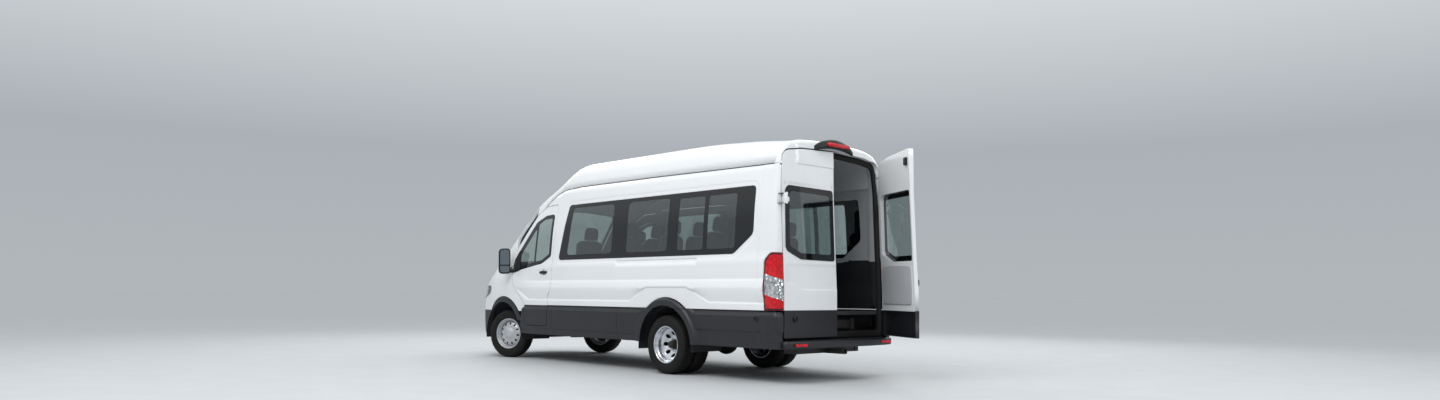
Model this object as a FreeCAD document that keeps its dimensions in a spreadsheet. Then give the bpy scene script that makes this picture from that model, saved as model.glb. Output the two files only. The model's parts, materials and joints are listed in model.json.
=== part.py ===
import FreeCAD, Part
import Sketcher
import math
import os

Vector = FreeCAD.Vector
doc = FreeCAD.newDocument("minibus")

# Driving dimensions in millimetres and degrees.
# Places along the vehicle count from the front axle, forward is plus, and heights from the ground.
DRIVING = (
    ("front_axle_x", 2678.3),        # front axle in the model's frame
    ("wheelbase", 3750),
    ("front_overhang", 1023),
    ("side_width", 1032.5),        # half the width over the body sides
    ("mirror_width", 1237),        # half the width over the mirrors
    ("flare_width", 1063),         # half the width over the rear wheel arch lips
    ("roof_height", 2780),
    ("gutter_height", 2370),
    ("band_height", 785),          # where white paint meets dark cladding
    ("sill_height", 375),
    ("floor_height", 730),
    ("floor_thick", 40),
    ("wall", 60),                  # thickness of doors and walls, skin to lining
    ("gap", 7),                    # between moving panels
    ("rear_face_x", -5560),
    ("rear_lean", 60),             # how far the rear face leans forward at the roof
    ("tyre_radius", 349.5),
    ("tyre_width", 195),
    ("rim_radius", 220),
    ("front_holes", 11),           # round hand holes in a front wheel
    ("rear_holes", 8),             # and in a rear wheel
    ("front_track", 1732),
    ("twin_outer", 937),           # middle of the outer rear tyre
    ("twin_spacing", 236),
    ("kingpin", 790),              # kingpin axis from the centre line
    ("rest_steer", 20),            # front wheels stand turned to the left
    ("rear_door_open", 60),        # the right rear door stands open
    ("rear_hinge_behind", 52),     # rear door hinge line behind the rear face
    ("rear_hinge_y", 918),
    ("front_hinge_x", -178),       # front door hinge line, from the front axle
    ("front_hinge_y", 1014),
    ("bonnet_hinge_x", 120),
    ("bonnet_hinge_z", 1300),
    ("arch_radius", 470),          # inside of the wheel arches
    ("flare_radius", 565),
    ("engine_long", 620),
    ("engine_wide", 560),
    ("engine_high", 620),
    ("tank_long", 1050),
    ("tank_wide", 392),
    ("tank_high", 260),
    ("receiver_height", 330),
    ("receiver_side", 63.5),       # tow receiver tube, outside
    ("receiver_bore", 51),         # tow receiver tube, inside
    ("pin_radius", 8),             # tow receiver cross pin
)

sheet = doc.addObject("Spreadsheet::Sheet", "sizes")
for row, (alias, value) in enumerate(DRIVING, 1):
    sheet.set("A%d" % row, alias)
    sheet.set("B%d" % row, str(value))
    sheet.setAlias("B%d" % row, alias)
doc.recompute()


def size(alias):
    return float(sheet.get(alias))


AXLE = size("front_axle_x")
REAR_AXLE = AXLE - size("wheelbase")
WALL = size("wall")
GAP = size("gap")
REAR = AXLE + size("rear_face_x")
BAND = size("band_height")
GUTTER = size("gutter_height")
FLOOR = size("floor_height")
FAR = 4000.0                       # beyond every face, for cutting tools
LEFT, RIGHT = 1, -1
nodes = []


def name_node(thing, label):
    thing.Label = label
    nodes.append(thing)
    return thing


def feature(label, shape, placement=None):
    """A panel or casting whose shape comes from the body's envelope or from plain solids."""
    thing = doc.addObject("Part::Feature", label)
    place = placement if placement else shape.Placement
    thing.Shape = shape
    thing.Placement = place
    return name_node(thing, label)


def corner_point(plane, across, up):
    if plane == "side":
        return Vector(across, 0, up)
    if plane == "section":
        return Vector(0, across, up)
    return Vector(across, up, 0)


def outline(plane, corners):
    """A closed wire through corners (across, up, radius), each rounded by a tangent arc."""
    count = len(corners)
    points = [corner_point(plane, corner[0], corner[1]) for corner in corners]
    starts, ends, middles = [], [], []
    for i in range(count):
        here, before, after = points[i], points[i - 1], points[(i + 1) % count]
        back = (before - here).normalize()
        ahead = (after - here).normalize()
        half = back.getAngle(ahead) / 2
        radius = corners[i][2]
        if radius <= 0 or abs(half - math.pi / 2) < 1e-4:
            starts.append(here)
            ends.append(here)
            middles.append(None)
            continue
        cut = radius / math.tan(half)
        to_centre = (back + ahead).normalize()
        starts.append(here + back * cut)
        ends.append(here + ahead * cut)
        middles.append(here + to_centre * (radius / math.sin(half) - radius))
    edges = []
    for i in range(count):
        if middles[i] is not None:
            edges.append(Part.Arc(starts[i], middles[i], ends[i]).toShape())
        after = starts[(i + 1) % count]
        if (after - ends[i]).Length > 1e-6:
            edges.append(Part.LineSegment(ends[i], after).toShape())
    return Part.Wire(edges)


NORMAL = {"side": Vector(0, 1, 0), "section": Vector(1, 0, 0), "plan": Vector(0, 0, 1)}


def prism(plane, corners, low, high, inset=0.0, lean=0.0):
    """The outline drawn in a plane and pushed through from low to high. Lean shifts it along x per unit height."""
    face = Part.Face(outline(plane, corners))
    if inset:
        face = Part.Face(face.makeOffset2D(-inset, 0, False, False, True).OuterWire)
    normal = NORMAL[plane]
    shift = normal * low + Vector(lean * low, 0, 0)
    face.translate(shift)
    return face.extrude(normal * (high - low) + Vector(lean * (high - low), 0, 0))


def from_axle(corners):
    """Side view corners that count from the front axle, moved into the model's frame."""
    return [(corner[0] + AXLE,) + tuple(corner[1:]) for corner in corners]


def side_prism(corners, side, inner=0.0, outer=FAR):
    low, high = (inner, outer) if side == LEFT else (-outer, -inner)
    return prism("side", from_axle(corners), low, high)


def block(x_low, x_high, y_low, y_high, z_low, z_high):
    return Part.makeBox(x_high - x_low, y_high - y_low, z_high - z_low, Vector(x_low, y_low, z_low))


def rod(x, y_low, y_high, z, radius):
    return Part.makeCylinder(radius, y_high - y_low, Vector(x, y_low, z), Vector(0, 1, 0))


def fuse(shapes):
    whole = shapes[0]
    if len(shapes) > 1:
        whole = whole.multiFuse(shapes[1:])
    return whole.removeSplitter()


def mirror_y(shape):
    return shape.mirror(Vector(0, 0, 0), Vector(0, 1, 0))


# The envelope of the cabin: a section swept along, cut by the side view and by the slanted plan.
# Half section from the sill to the roof's crown: out, up, corner radius.
HALF_SECTION = (
    (985, 340, 0),
    (1012, 785, 400),
    (1034, 1110, 500),
    (985, 1900, 2500),
    (925, 2370, 500),
    (872, 2685, 170),
    (0, 2815, 3500),
)

# Side view of the cabin: along from the front axle, up, corner radius.
CABIN_SIDE = (
    (-5560, 340, 0),
    (542, 340, 0),
    (542, 1276, 0),
    (-1038, 2625, 700),
    (-2350, 2790, 4000),
    (-4300, 2808, 3000),
    (-5500, 2705, 60),
    (-5560, 1000, 0),
)

# Plan of the glasshouse at the height of the windscreen's foot: along, out, corner radius.
SCREEN_FOOT = 1380
SCREEN_SLOPE = math.radians(40.5)
CABIN_PLAN = (
    (420, 0, 0),
    (345, 620, 900),
    (170, 975, 240),
    (-700, 1040, 0),
    (-9000, 1045, 0),
    (-9000, 0, 0),
)


def both_halves(half):
    """A closed plan or section from its half: y and minus y."""
    return tuple(half) + tuple((corner[0], -corner[1], corner[2]) for corner in reversed(half)
                               if corner[1] > 0)


def both_halves_up(half):
    """A closed section from its right half, listed from the bottom up."""
    half = list(half)
    return half + [(-corner[0], corner[1], corner[2]) for corner in reversed(half) if corner[0] > 0]


def section_corners():
    half = list(HALF_SECTION)
    return half + [(-corner[0], corner[1], corner[2]) for corner in reversed(half[:-1])]


def cabin_envelope(inset):
    section = prism("section", section_corners(), -FAR, FAR, inset)
    side = prism("side", from_axle(CABIN_SIDE), -FAR, FAR, inset)
    lean = -1 / math.tan(SCREEN_SLOPE)
    foot = from_axle(both_halves(CABIN_PLAN))
    plan = prism("plan", [(corner[0] - lean * SCREEN_FOOT,) + corner[1:] for corner in foot],
                 0, 3200, inset, lean)
    return section.common(side).common(plan)


# The nose: half sections of equal corner count, one table row for each station from the door seam forward.
# station: (out, up) at sill, band, waist, shoulder, bonnet edge, bonnet crown
NOSE_STATIONS = (
    (-700, ((985, 340), (1012, 785), (1034, 1110), (1024, 1270), (930, 1320), (0, 1330))),
    (-150, ((985, 340), (1008, 785), (1022, 1080), (1002, 1260), (900, 1325), (0, 1335))),
    (330, ((975, 340), (990, 785), (985, 1030), (925, 1225), (800, 1290), (0, 1332))),
    (800, ((885, 300), (900, 740), (885, 930), (820, 1085), (720, 1152), (0, 1206))),
    (1020, ((660, 300), (665, 700), (650, 860), (600, 960), (540, 1000), (0, 1040))),
)


def nose_envelope(inset):
    wires = []
    for station, half in NOSE_STATIONS:
        reach = max(out for out, up in half)
        shrink = (reach - inset) / reach
        points = [Vector(AXLE + station, out * shrink, up - (inset if up > 400 else 0)) for out, up in half]
        points += [Vector(p.x, -p.y, p.z) for p in reversed(points[:-1])]
        wires.append(Part.makePolygon(points + [points[0]]))
    loft = Part.makeLoft(wires, True, True)
    tip = AXLE + size("front_overhang") - inset
    front = prism("plan", both_halves((
        (tip, 0, 0), (tip - 25, 560, 500), (tip - 260, 920, 350), (tip - 900, 1060, 0),
        (AXLE - 800, 1060, 0), (AXLE - 800, 0, 0))), 0, 2000)
    return loft.common(front)


cabin_outer = cabin_envelope(0)
cabin_inner = cabin_envelope(WALL)
cabin_shell = cabin_outer.cut(cabin_inner)
nose_outer = nose_envelope(0)
nose_shell = nose_outer.cut(nose_envelope(45))

# Outlines in side view, counted from the front axle: along, up, corner radius.
FRONT_DOOR = (
    (-1190, 500, 30),
    (-620, 500, 30),
    (-600, 800, 150),
    (-300, 1060, 200),
    (-215, 1340, 60),
    (-330, 1640, 100),
    (-770, 2085, 120),
    (-1000, 2185, 200),
    (-1285, 2195, 40),
    (-1285, 985, 60),
    (-1190, 905, 60),
)
FRONT_WINDOW = (
    (-1215, 1480, 40),
    (-1010, 1385, 120),
    (-400, 1300, 60),
    (-330, 1500, 60),
    (-800, 1990, 110),
    (-1000, 2070, 150),
    (-1215, 2080, 40),
)
BAND_WINDOW = (
    (-1545, 1405, 45),
    (-4860, 1405, 60),
    (-5205, 1590, 80),
    (-5205, 2170, 45),
    (-1625, 2170, 45),
)
SLIDING_DOOR = (
    (-1400, 500, 25),
    (-2790, 500, 25),
    (-2790, 2230, 60),
    (-1400, 2230, 60),
)


def grown(corners, by):
    """An outline's corners moved outward by a distance, its radii grown to match."""
    count = len(corners)
    area = sum(corners[i - 1][0] * corners[i][1] - corners[i][0] * corners[i - 1][1] for i in range(count))
    turn = 1 if area > 0 else -1
    moved = []
    for i in range(count):
        before, here, after = corners[i - 1], corners[i], corners[(i + 1) % count]
        one = Vector(here[0] - before[0], here[1] - before[1], 0).normalize()
        two = Vector(after[0] - here[0], after[1] - here[1], 0).normalize()
        out_one = Vector(one.y, -one.x, 0) * turn
        out_two = Vector(two.y, -two.x, 0) * turn
        push = (out_one + out_two) * (by / (1 + out_one.dot(out_two)))
        convex = one.cross(two).z * turn > 0
        radius = here[2] + (by if convex else -by) if here[2] else 0
        moved.append((here[0] + push.x, here[1] + push.y, max(radius, 0)))
    return moved


# Body sides: one pressing from the front door's seam to the rear corner, above the dark cladding.
SIDE_PANEL = (
    (-720, 2110, 0),
    (-1285 + GAP, 2195 + GAP, 0),
    (-1285 - GAP, 2195 + GAP, 0),
    (-1285 - GAP, BAND, 0),
    (-5700, BAND, 0),
    (-5700, GUTTER, 0),
    (-1180, GUTTER, 0),
)
WHEEL_HEIGHT = size("tyre_radius")


def arch_cut(axle_x, side, radius):
    low, high = (500, 1300) if side == LEFT else (-1300, -500)
    return rod(axle_x, low, high, WHEEL_HEIGHT, radius)


def panel(shell, corners, side, cuts=()):
    shape = shell.common(side_prism(corners, side))
    for cut in cuts:
        shape = shape.cut(cut)
    return shape.removeSplitter()


# The rear opening, in the rear view: out, up, corner radius. Each door fills half of it.
REAR_OPENING = (
    (905, 480, 20),
    (905, 2200, 500),
    (868, 2548, 130),
    (560, 2592, 800),
    (0, 2616, 0),
    (0, 480, 0),
)


def rear_prism(corners, side, x_low, x_high):
    return prism("section", [(corner[0] * side, corner[1], corner[2]) for corner in corners], x_low, x_high)


rear_cut_left = rear_prism(REAR_OPENING, LEFT, REAR - 100, REAR + WALL + 260)
rear_cut = rear_cut_left.fuse(mirror_y(rear_cut_left)).removeSplitter()

window_cuts = {
    side: side_prism(BAND_WINDOW, side, 800) for side in (LEFT, RIGHT)
}
slide_cut = side_prism(grown(SLIDING_DOOR, GAP), RIGHT, 800)

for side, word in ((LEFT, "left"), (RIGHT, "right")):
    cuts = [window_cuts[side], rear_cut, arch_cut(REAR_AXLE, side, size("flare_radius")),
            side_prism(grown(FRONT_DOOR, GAP), side, 700)]
    if side == RIGHT:
        cuts.append(slide_cut)
    feature("body_side_" + word, panel(cabin_shell, SIDE_PANEL, side, cuts))

# Roof: the high moulded top with its front cap down to the windscreen and the rear header.
ROOF_SIDE = (
    (-5700, GUTTER, 0),
    (-1180, GUTTER, 0),
    (-700, 2230, 0),
    (-700, 3000, 0),
    (-5700, 3000, 0),
)
roof = cabin_shell.common(prism("side", from_axle(ROOF_SIDE), -FAR, FAR)).cut(rear_cut)
feature("roof_panel", roof.removeSplitter())

# Plan of the bonnet, which sets where the cowl under the windscreen ends.
BONNET_PLAN = (
    (476, 0, 0),
    (406, 580, 700),
    (322, 785, 0),
    (600, 770, 200),
    (905, 640, 200),
    (985, 0, 0),
)
bonnet_tool = prism("plan", from_axle(both_halves(BONNET_PLAN)), 700, 2000)
BONNET_GAP = GAP + 4
bonnet_room = prism("plan", grown(from_axle(both_halves(BONNET_PLAN)), BONNET_GAP), 700, 2000)

# Windscreen: glass in the slanted front, inside its frame of pillars, header and cowl.
PILLAR_SIDE = (
    (600, 1345, 0),
    (600, 3000, 0),
    (-700, 3000, 0),
    (-700, 2230, 0),
    (-700, 2120, 0),
    (-330 + GAP, 1640 + 2 * GAP, 0),
    (-215 + 2 * GAP, 1345, 0),
)
COWL_LOW, COWL_HALF = 1295, 790
ring = cabin_shell.common(prism("side", from_axle(PILLAR_SIDE), -FAR, FAR))
cowl = cabin_shell.common(block(AXLE + 250, AXLE + 600, -COWL_HALF, COWL_HALF, COWL_LOW, 1345)).cut(bonnet_room)
ring = ring.fuse(cowl)
screen_tool = prism("section", (
    (870, 1400, 90), (760, 2190, 120), (0, 2235, 0), (-760, 2190, 120), (-870, 1400, 90), (0, 1385, 0)),
    AXLE - 1100, AXLE + 600)
feature("windscreen_frame", ring.cut(screen_tool).removeSplitter())
glass_shell = cabin_envelope(12).cut(cabin_envelope(24))
screen_glass = prism("section", (
    (868, 1402, 88), (758, 2188, 118), (0, 2233, 0), (-758, 2188, 118), (-868, 1402, 88), (0, 1387, 0)),
    AXLE - 1100, AXLE + 600)
feature("windscreen", glass_shell.common(prism("side", from_axle(PILLAR_SIDE), -FAR, FAR)).common(screen_glass))

# Fixed side glass: one band on the left, and on the right the part behind the sliding door.
band = []
for side in (LEFT, RIGHT):
    panes = glass_shell.common(side_prism(grown(BAND_WINDOW, -2), side, 800))
    if side == RIGHT:
        panes = panes.cut(side_prism(grown(SLIDING_DOOR, GAP + 2), RIGHT, 800))
        door_pane = glass_shell.common(side_prism(grown(BAND_WINDOW, -2), side, 800))
        door_pane = door_pane.common(side_prism(grown(SLIDING_DOOR, -62), RIGHT, 800))
    band.append(panes)
feature("side_windows", Part.makeCompound([solid for pane in band for solid in pane.Solids]))
slider = panel(cabin_shell, SLIDING_DOOR, RIGHT)
slider = slider.cut(side_prism(grown(BAND_WINDOW, 0), RIGHT, 800).common(
    side_prism(grown(SLIDING_DOOR, -60), RIGHT, 800)))
feature("sliding_door", slider.removeSplitter())
feature("sliding_door_glass", door_pane)

# Front doors with their glass: each swings on a hinge line at its front edge.
for side, word in ((LEFT, "left"), (RIGHT, "right")):
    leaf = panel(cabin_shell, FRONT_DOOR, side)
    feature("front_door_" + word, leaf.cut(side_prism(FRONT_WINDOW, side, 700)).removeSplitter())
    feature("front_door_glass_" + word, glass_shell.common(side_prism(grown(FRONT_WINDOW, -2), side, 700)))


# Dark cladding below the band: one pressing a side with its door seams, and the wide rear arch lips.
CLADDING = (
    (-627, 0, 0),
    (-627, BAND - 5, 0),
    (-5300, BAND - 5, 0),
    (-5300, 0, 0),
)
SILL = (
    (-560, 0, 0),
    (-560, 500 - GAP, 0),
    (-5300, 500 - GAP, 0),
    (-5300, 0, 0),
)
for side, word in ((LEFT, "left"), (RIGHT, "right")):
    skirt = panel(cabin_shell, CLADDING, side).cut(side_prism(grown(FRONT_DOOR, GAP), side, 700))
    skirt = skirt.fuse(panel(cabin_shell, SILL, side))
    if side == RIGHT:
        skirt = skirt.cut(slide_cut)
    skirt = skirt.cut(block(AXLE - 6000, AXLE, -880, 880, 0, 900))
    near, far = 930, size("flare_width")
    low, high = (near, far) if side == LEFT else (-far, -near)
    lip = rod(REAR_AXLE, low, high, WHEEL_HEIGHT, size("flare_radius"))
    lip = lip.common(block(REAR_AXLE - 700, REAR_AXLE + 700, -2000, 2000, 470, 1200))
    skirt = skirt.fuse(lip).cut(arch_cut(REAR_AXLE, side, size("arch_radius")))
    feature("lower_cladding_" + word, skirt.removeSplitter())

# Nose: wings with their arch liners, the bonnet, grille, headlamps and bumper.
HEADLAMP = (
    (560, 1080, 40),
    (600, 930, 30),
    (1100, 830, 30),
    (1100, 960, 30),
    (880, 1060, 80),
)
WING = (
    (-640, BAND, 0),
    (-600, BAND, 0),
    (-600, 800, 150),
    (-300, 1060, 200),
    (-215, 1340, 60),
    (-215, 1600, 0),
    (1100, 1600, 0),
    (1100, 700, 0),
    (540, 700, 0),
    (430, 600, 0),
    (-480, 505, 0),
    (-640, 505, 0),
)
lamp_tools = {side: side_prism(HEADLAMP, side, 430) for side in (LEFT, RIGHT)}
grille_tool = block(AXLE + 700, AXLE + 1200, -425, 425, 690, 960)
bumper_tool = block(AXLE + 330, AXLE + 1200, -1200, 1200, 250, 690)

nose_top = nose_shell.common(bonnet_tool).common(block(AXLE - 500, AXLE + 1200, -1200, 1200, 960, 1700))
bonnet = nose_top
for side in (LEFT, RIGHT):
    bonnet = bonnet.cut(side_prism(grown(HEADLAMP, GAP), side, 420))
feature("bonnet", bonnet.removeSplitter())

liner = []
for side in (LEFT, RIGHT):
    low, high = (560, 960) if side == LEFT else (-960, -560)
    sleeve = rod(AXLE, low, high, WHEEL_HEIGHT, size("arch_radius") + 25)
    sleeve = sleeve.cut(rod(AXLE, low, high, WHEEL_HEIGHT, size("arch_radius")))
    sleeve = sleeve.common(block(AXLE - 800, AXLE + 800, -2000, 2000, 480, 1200))
    liner.append(sleeve)
wings = []
for side, sleeve in ((LEFT, liner[0]), (RIGHT, liner[1])):
    skin = panel(nose_shell, WING, side).cut(side_prism(grown(FRONT_DOOR, GAP), side, 500))
    skin = skin.cut(bonnet_room)
    skin = skin.cut(side_prism(grown(HEADLAMP, 4), side, 420)).cut(bumper_tool)
    skin = skin.cut(block(AXLE + 400, AXLE + 1200, -640, 640, 300, 1700))
    skin = skin.cut(block(AXLE - 800, AXLE + 450, -800, 800, 300, 1700))
    skin = skin.fuse(sleeve).cut(arch_cut(AXLE, side, size("arch_radius")))
    wings.append(skin.removeSplitter())
feature("front_wings", Part.makeCompound([solid for wing in wings for solid in wing.Solids]))

lamps = [nose_envelope(8).cut(nose_envelope(120)).common(lamp_tools[side]) for side in (LEFT, RIGHT)]
feature("headlamps", Part.makeCompound([solid for lamp in lamps for solid in lamp.Solids]))

grille = nose_envelope(14).cut(nose_envelope(60)).common(grille_tool)
slots = [block(AXLE + 700, AXLE + 1200, -395, 395, low, low + 50) for low in (720, 800, 880)]
grille = grille.cut(slots[0]).cut(slots[1]).cut(slots[2])
feature("grille", grille.removeSplitter())

bumper = nose_outer.cut(nose_envelope(90)).common(bumper_tool).fuse(
    block(AXLE + 560, AXLE + 1000, -560, 560, 300, 330))
for side in (LEFT, RIGHT):
    bumper = bumper.cut(arch_cut(AXLE, side, size("arch_radius") + 30))
bumper = bumper.cut(block(AXLE + 700, AXLE + 1200, -400, 400, 400, 520))
feature("front_bumper", bumper.removeSplitter())

# Rear doors: each half of the rear wall on hinges at its outer edge. The right one stands open.
HINGE_X = REAR - size("rear_hinge_behind")
HINGE_Y = size("rear_hinge_y")
REAR_WINDOW = (
    (845, 1450, 60),
    (610, 1357, 80),
    (40, 1350, 25),
    (40, 2140, 25),
    (830, 2150, 70),
)
rear_shell = cabin_outer.cut(cabin_envelope(WALL)).common(block(REAR - 50, REAR + 240, -1200, 1200, 300, 2700))
rear_glass = cabin_envelope(10).cut(cabin_envelope(20)).common(block(REAR - 50, REAR + 240, -1200, 1200, 300, 2700))
DOOR_HALF = (
    (905 - GAP, 480 + GAP, 20),
    (905 - GAP, 2200, 500),
    (868 - GAP, 2548 - GAP, 130),
    (560, 2592 - GAP, 800),
    (5, 2616 - GAP, 0),
    (5, 480 + GAP, 0),
)


def swing(side):
    """The right rear door stands open: turned about its upright hinge line."""
    angle = size("rear_door_open") if side == RIGHT else 0
    turn = FreeCAD.Rotation(Vector(0, 0, 1), angle)
    return FreeCAD.Placement(Vector(0, 0, 0), turn, Vector(HINGE_X, -HINGE_Y, 0))


for side, word in ((LEFT, "left"), (RIGHT, "right")):
    whole = rear_prism(DOOR_HALF, side, REAR - 60, REAR + WALL + 200)
    leaf = rear_shell.common(whole)
    leaf = leaf.cut(rear_prism(REAR_WINDOW, side, REAR - 60, REAR + 400))
    leaf = max(leaf.Solids, key=lambda solid: solid.Volume)
    pane = rear_glass.common(rear_prism(grown(REAR_WINDOW, -2), side, REAR - 60, REAR + 200))
    pane = max(pane.Solids, key=lambda solid: solid.Volume)
    feature("rear_door_" + word, leaf, swing(side))
    feature("rear_door_glass_" + word, pane, swing(side))

# Rear step bumper, tail lamps on the corners, high brake lamp, tow receiver.
step = prism("plan", from_axle(both_halves((
    (-5690, 0, 0), (-5690, 860, 60), (-5610, 985, 60), (-5300, 1006, 0), (-5300, 0, 0)))), 375, 470)
step = step.cut(block(REAR + 60, REAR + 400, -930, 930, 300, 500))
corner = prism("plan", from_axle(both_halves((
    (-5640, 0, 0), (-5640, 880, 60), (-5590, 1000, 70), (-5300, 1016, 0), (-5300, 0, 0)))), 375, BAND - 5)
corner = corner.cut(block(REAR - 200, REAR + 700, -930, 930, 300, 900))
feature("rear_bumper", step.fuse(corner).removeSplitter())

lamps = []
for side in (LEFT, RIGHT):
    column = prism("plan", [(p[0] + AXLE, p[1] * side, p[2]) for p in (
        (-5575, 915, 8), (-5575, 1010, 45), (-5385, 1036, 8), (-5385, 915, 0))], BAND + 4, 1404)
    lamps.append(column)
    thing = doc.getObject("body_side_left" if side == LEFT else "body_side_right")
    thing.Shape = thing.Shape.cut(column).removeSplitter()
feature("tail_lamps", Part.makeCompound(lamps))

pod = prism("section", both_halves_up((
    (0, 2618, 0), (300, 2608, 20), (370, 2642, 25), (250, 2705, 80), (0, 2752, 900))),
    REAR - 45, REAR + 190)
feature("brake_lamp_pod", pod.cut(cabin_outer).removeSplitter())

# Plain pieces of the chassis: boxes and round bars whose sizes and places are tied to the sheet.
def bound(thing, **cells):
    for name, value in cells.items():
        key = name.replace("base_", "Placement.Base.")
        thing.setExpression(key, value if isinstance(value, str) else str(value))
    return thing


def bound_box(name, x, y, z, length, width, height):
    thing = doc.addObject("Part::Box", name)
    return bound(thing, base_x=x, base_y=y, base_z=z, Length=length, Width=width, Height=height)


def bound_bar(name, x, y, z, axis, length, radius):
    """A round bar from its low end along an axis of the frame."""
    thing = doc.addObject("Part::Cylinder", name)
    thing.Placement.Rotation = FreeCAD.Rotation(Vector(0, 0, 1), axis)
    return bound(thing, base_x=x, base_y=y, base_z=z, Height=length, Radius=radius)


def joined(label, pieces):
    whole = doc.addObject("Part::MultiFuse", label)
    whole.Shapes = pieces
    whole.Refine = True
    return name_node(whole, label)


def cut_from(label, base, tool):
    whole = doc.addObject("Part::Cut", label)
    whole.Base = base
    whole.Tool = tool
    return name_node(whole, label)


ALONG_X, ALONG_Y, ALONG_Z = Vector(1, 0, 0), Vector(0, 1, 0), Vector(0, 0, 1)
REAR_CELL = "(sizes.front_axle_x + sizes.rear_face_x)"
REAR_AXLE_CELL = "(sizes.front_axle_x - sizes.wheelbase)"
SIDES = (("left", 1), ("right", -1))


def low_side(sign, near, far):
    """The lower y of a piece between near and far on one side of the centre line, as text for a cell."""
    return "%s" % (near if sign > 0 else -far)


# Tow receiver: a square tube under the step, on a cross bar between two hangers.
HITCH_BAR_HALF = 28
hitch_tube = bound_box("receiver_tube", REAR_CELL + " - 110", "-sizes.receiver_side / 2",
                       "sizes.receiver_height - sizes.receiver_side / 2", 300, "sizes.receiver_side",
                       "sizes.receiver_side")
hitch_bar = bound_box("hitch_bar", REAR_CELL + " + 140", -540, "sizes.receiver_height - %d" % HITCH_BAR_HALF,
                      60, 1080, 2 * HITCH_BAR_HALF)
hangers = [bound_box("hitch_hanger_" + word, REAR_CELL + " + 130", low_side(sign, 482, 540),
                     "sizes.receiver_height - %d" % HITCH_BAR_HALF, 200, 58, 210) for word, sign in SIDES]
hitch_solid = doc.addObject("Part::MultiFuse", "hitch_solid")
hitch_solid.Shapes = [hitch_tube, hitch_bar] + hangers
mouth = bound_box("receiver_mouth", REAR_CELL + " - 200", "-sizes.receiver_bore / 2",
                  "sizes.receiver_height - sizes.receiver_bore / 2", 340, "sizes.receiver_bore",
                  "sizes.receiver_bore")
pin_hole = bound_bar("pin_hole", REAR_CELL + " - 55", -100, "sizes.receiver_height", ALONG_Y, 200,
                     "sizes.pin_radius")
hitch_holes = doc.addObject("Part::MultiFuse", "hitch_holes")
hitch_holes.Shapes = [mouth, pin_hole]
cut_from("tow_hitch", hitch_solid, hitch_holes)

# Floor with a raised toe board over the front wheels, a firewall and boxes over the rear wheels.
TOE_HEIGHT = 870
slabs = [
    bound_box("cabin_floor", REAR_CELL + " + sizes.wall + 25", -925, "sizes.floor_height",
              "-sizes.rear_face_x - sizes.wall - 545", 1850, "sizes.floor_thick"),
    bound_box("toe_step", "sizes.front_axle_x - 560", -925, "sizes.floor_height", 40, 1850,
              "%d + 30 - sizes.floor_height" % TOE_HEIGHT),
    bound_box("toe_board", "sizes.front_axle_x - 560", -900, TOE_HEIGHT, 690, 1800, 30),
    bound_box("firewall", "sizes.front_axle_x + 100", -850, TOE_HEIGHT, 30, 1700, 330),
]
WHEEL_BOX_IN, WHEEL_BOX_OUT = 545, 930
for word, sign in SIDES:
    slabs.append(bound_bar("wheel_box_" + word, REAR_AXLE_CELL, low_side(sign, WHEEL_BOX_IN, WHEEL_BOX_OUT),
                           "sizes.tyre_radius", ALONG_Y, WHEEL_BOX_OUT - WHEEL_BOX_IN, "sizes.arch_radius + 30"))
floor_solid = doc.addObject("Part::MultiFuse", "floor_solid")
floor_solid.Shapes = slabs
below = [bound_box("below_floor", REAR_CELL, -1100, "-sizes.floor_height", "-sizes.rear_face_x", 2200,
                   "2 * sizes.floor_height")]
for word, sign in SIDES:
    below.append(bound_bar("wheel_room_" + word, REAR_AXLE_CELL, low_side(sign, 575, 1100),
                           "sizes.tyre_radius", ALONG_Y, 525, "sizes.arch_radius"))
below_solid = doc.addObject("Part::MultiFuse", "below_solid")
below_solid.Shapes = below
cut_from("floor_pan", floor_solid, below_solid)

# Two rails the length of the floor, with cross members between them and outriggers to the sills.
RAIL_IN, RAIL_OUT = 400, 470
members = [bound_box("rail_" + word, REAR_CELL + " + 130", low_side(sign, RAIL_IN, RAIL_OUT), 560,
                     "850 - 130 - sizes.rear_face_x", RAIL_OUT - RAIL_IN, 130) for word, sign in SIDES]
for index, along in enumerate((765, -335, -1335, -2335, -3035, -4735, -5415)):
    members.append(bound_box("cross_member_%d" % index, "sizes.front_axle_x + %d" % along, -RAIL_OUT, 580,
                             70, 2 * RAIL_OUT, 90))
for index, along in enumerate((-930, -1930, -2830)):
    members.append(bound_box("outrigger_%d" % index, "sizes.front_axle_x + %d" % along, -870, 640, 60, 1740, 50))
joined("chassis_rails", members)

# Heavy masses: the engine as one block, the fuel tank, and the exhaust with its silencer.
name_node(bound_box("engine_block", "sizes.front_axle_x + 140", "-sizes.engine_wide / 2", 520,
                    "sizes.engine_long", "sizes.engine_wide", "sizes.engine_high"), "engine_block")
name_node(bound_box("fuel_tank", "sizes.front_axle_x - 2250", 480, 375,
                    "sizes.tank_long", "sizes.tank_wide", "sizes.tank_high"), "fuel_tank")
EXHAUST_Y, EXHAUST_Z = -300, 470
joined("exhaust", [
    bound_bar("front_pipe", "sizes.front_axle_x - 1850", EXHAUST_Y, EXHAUST_Z, ALONG_X, 1560, 32),
    bound_bar("silencer", "sizes.front_axle_x - 2450", EXHAUST_Y, EXHAUST_Z, ALONG_X, 620, 105),
    bound_bar("tail_pipe", "sizes.front_axle_x - 3200", EXHAUST_Y, EXHAUST_Z, ALONG_X, 800, 30),
])

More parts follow.
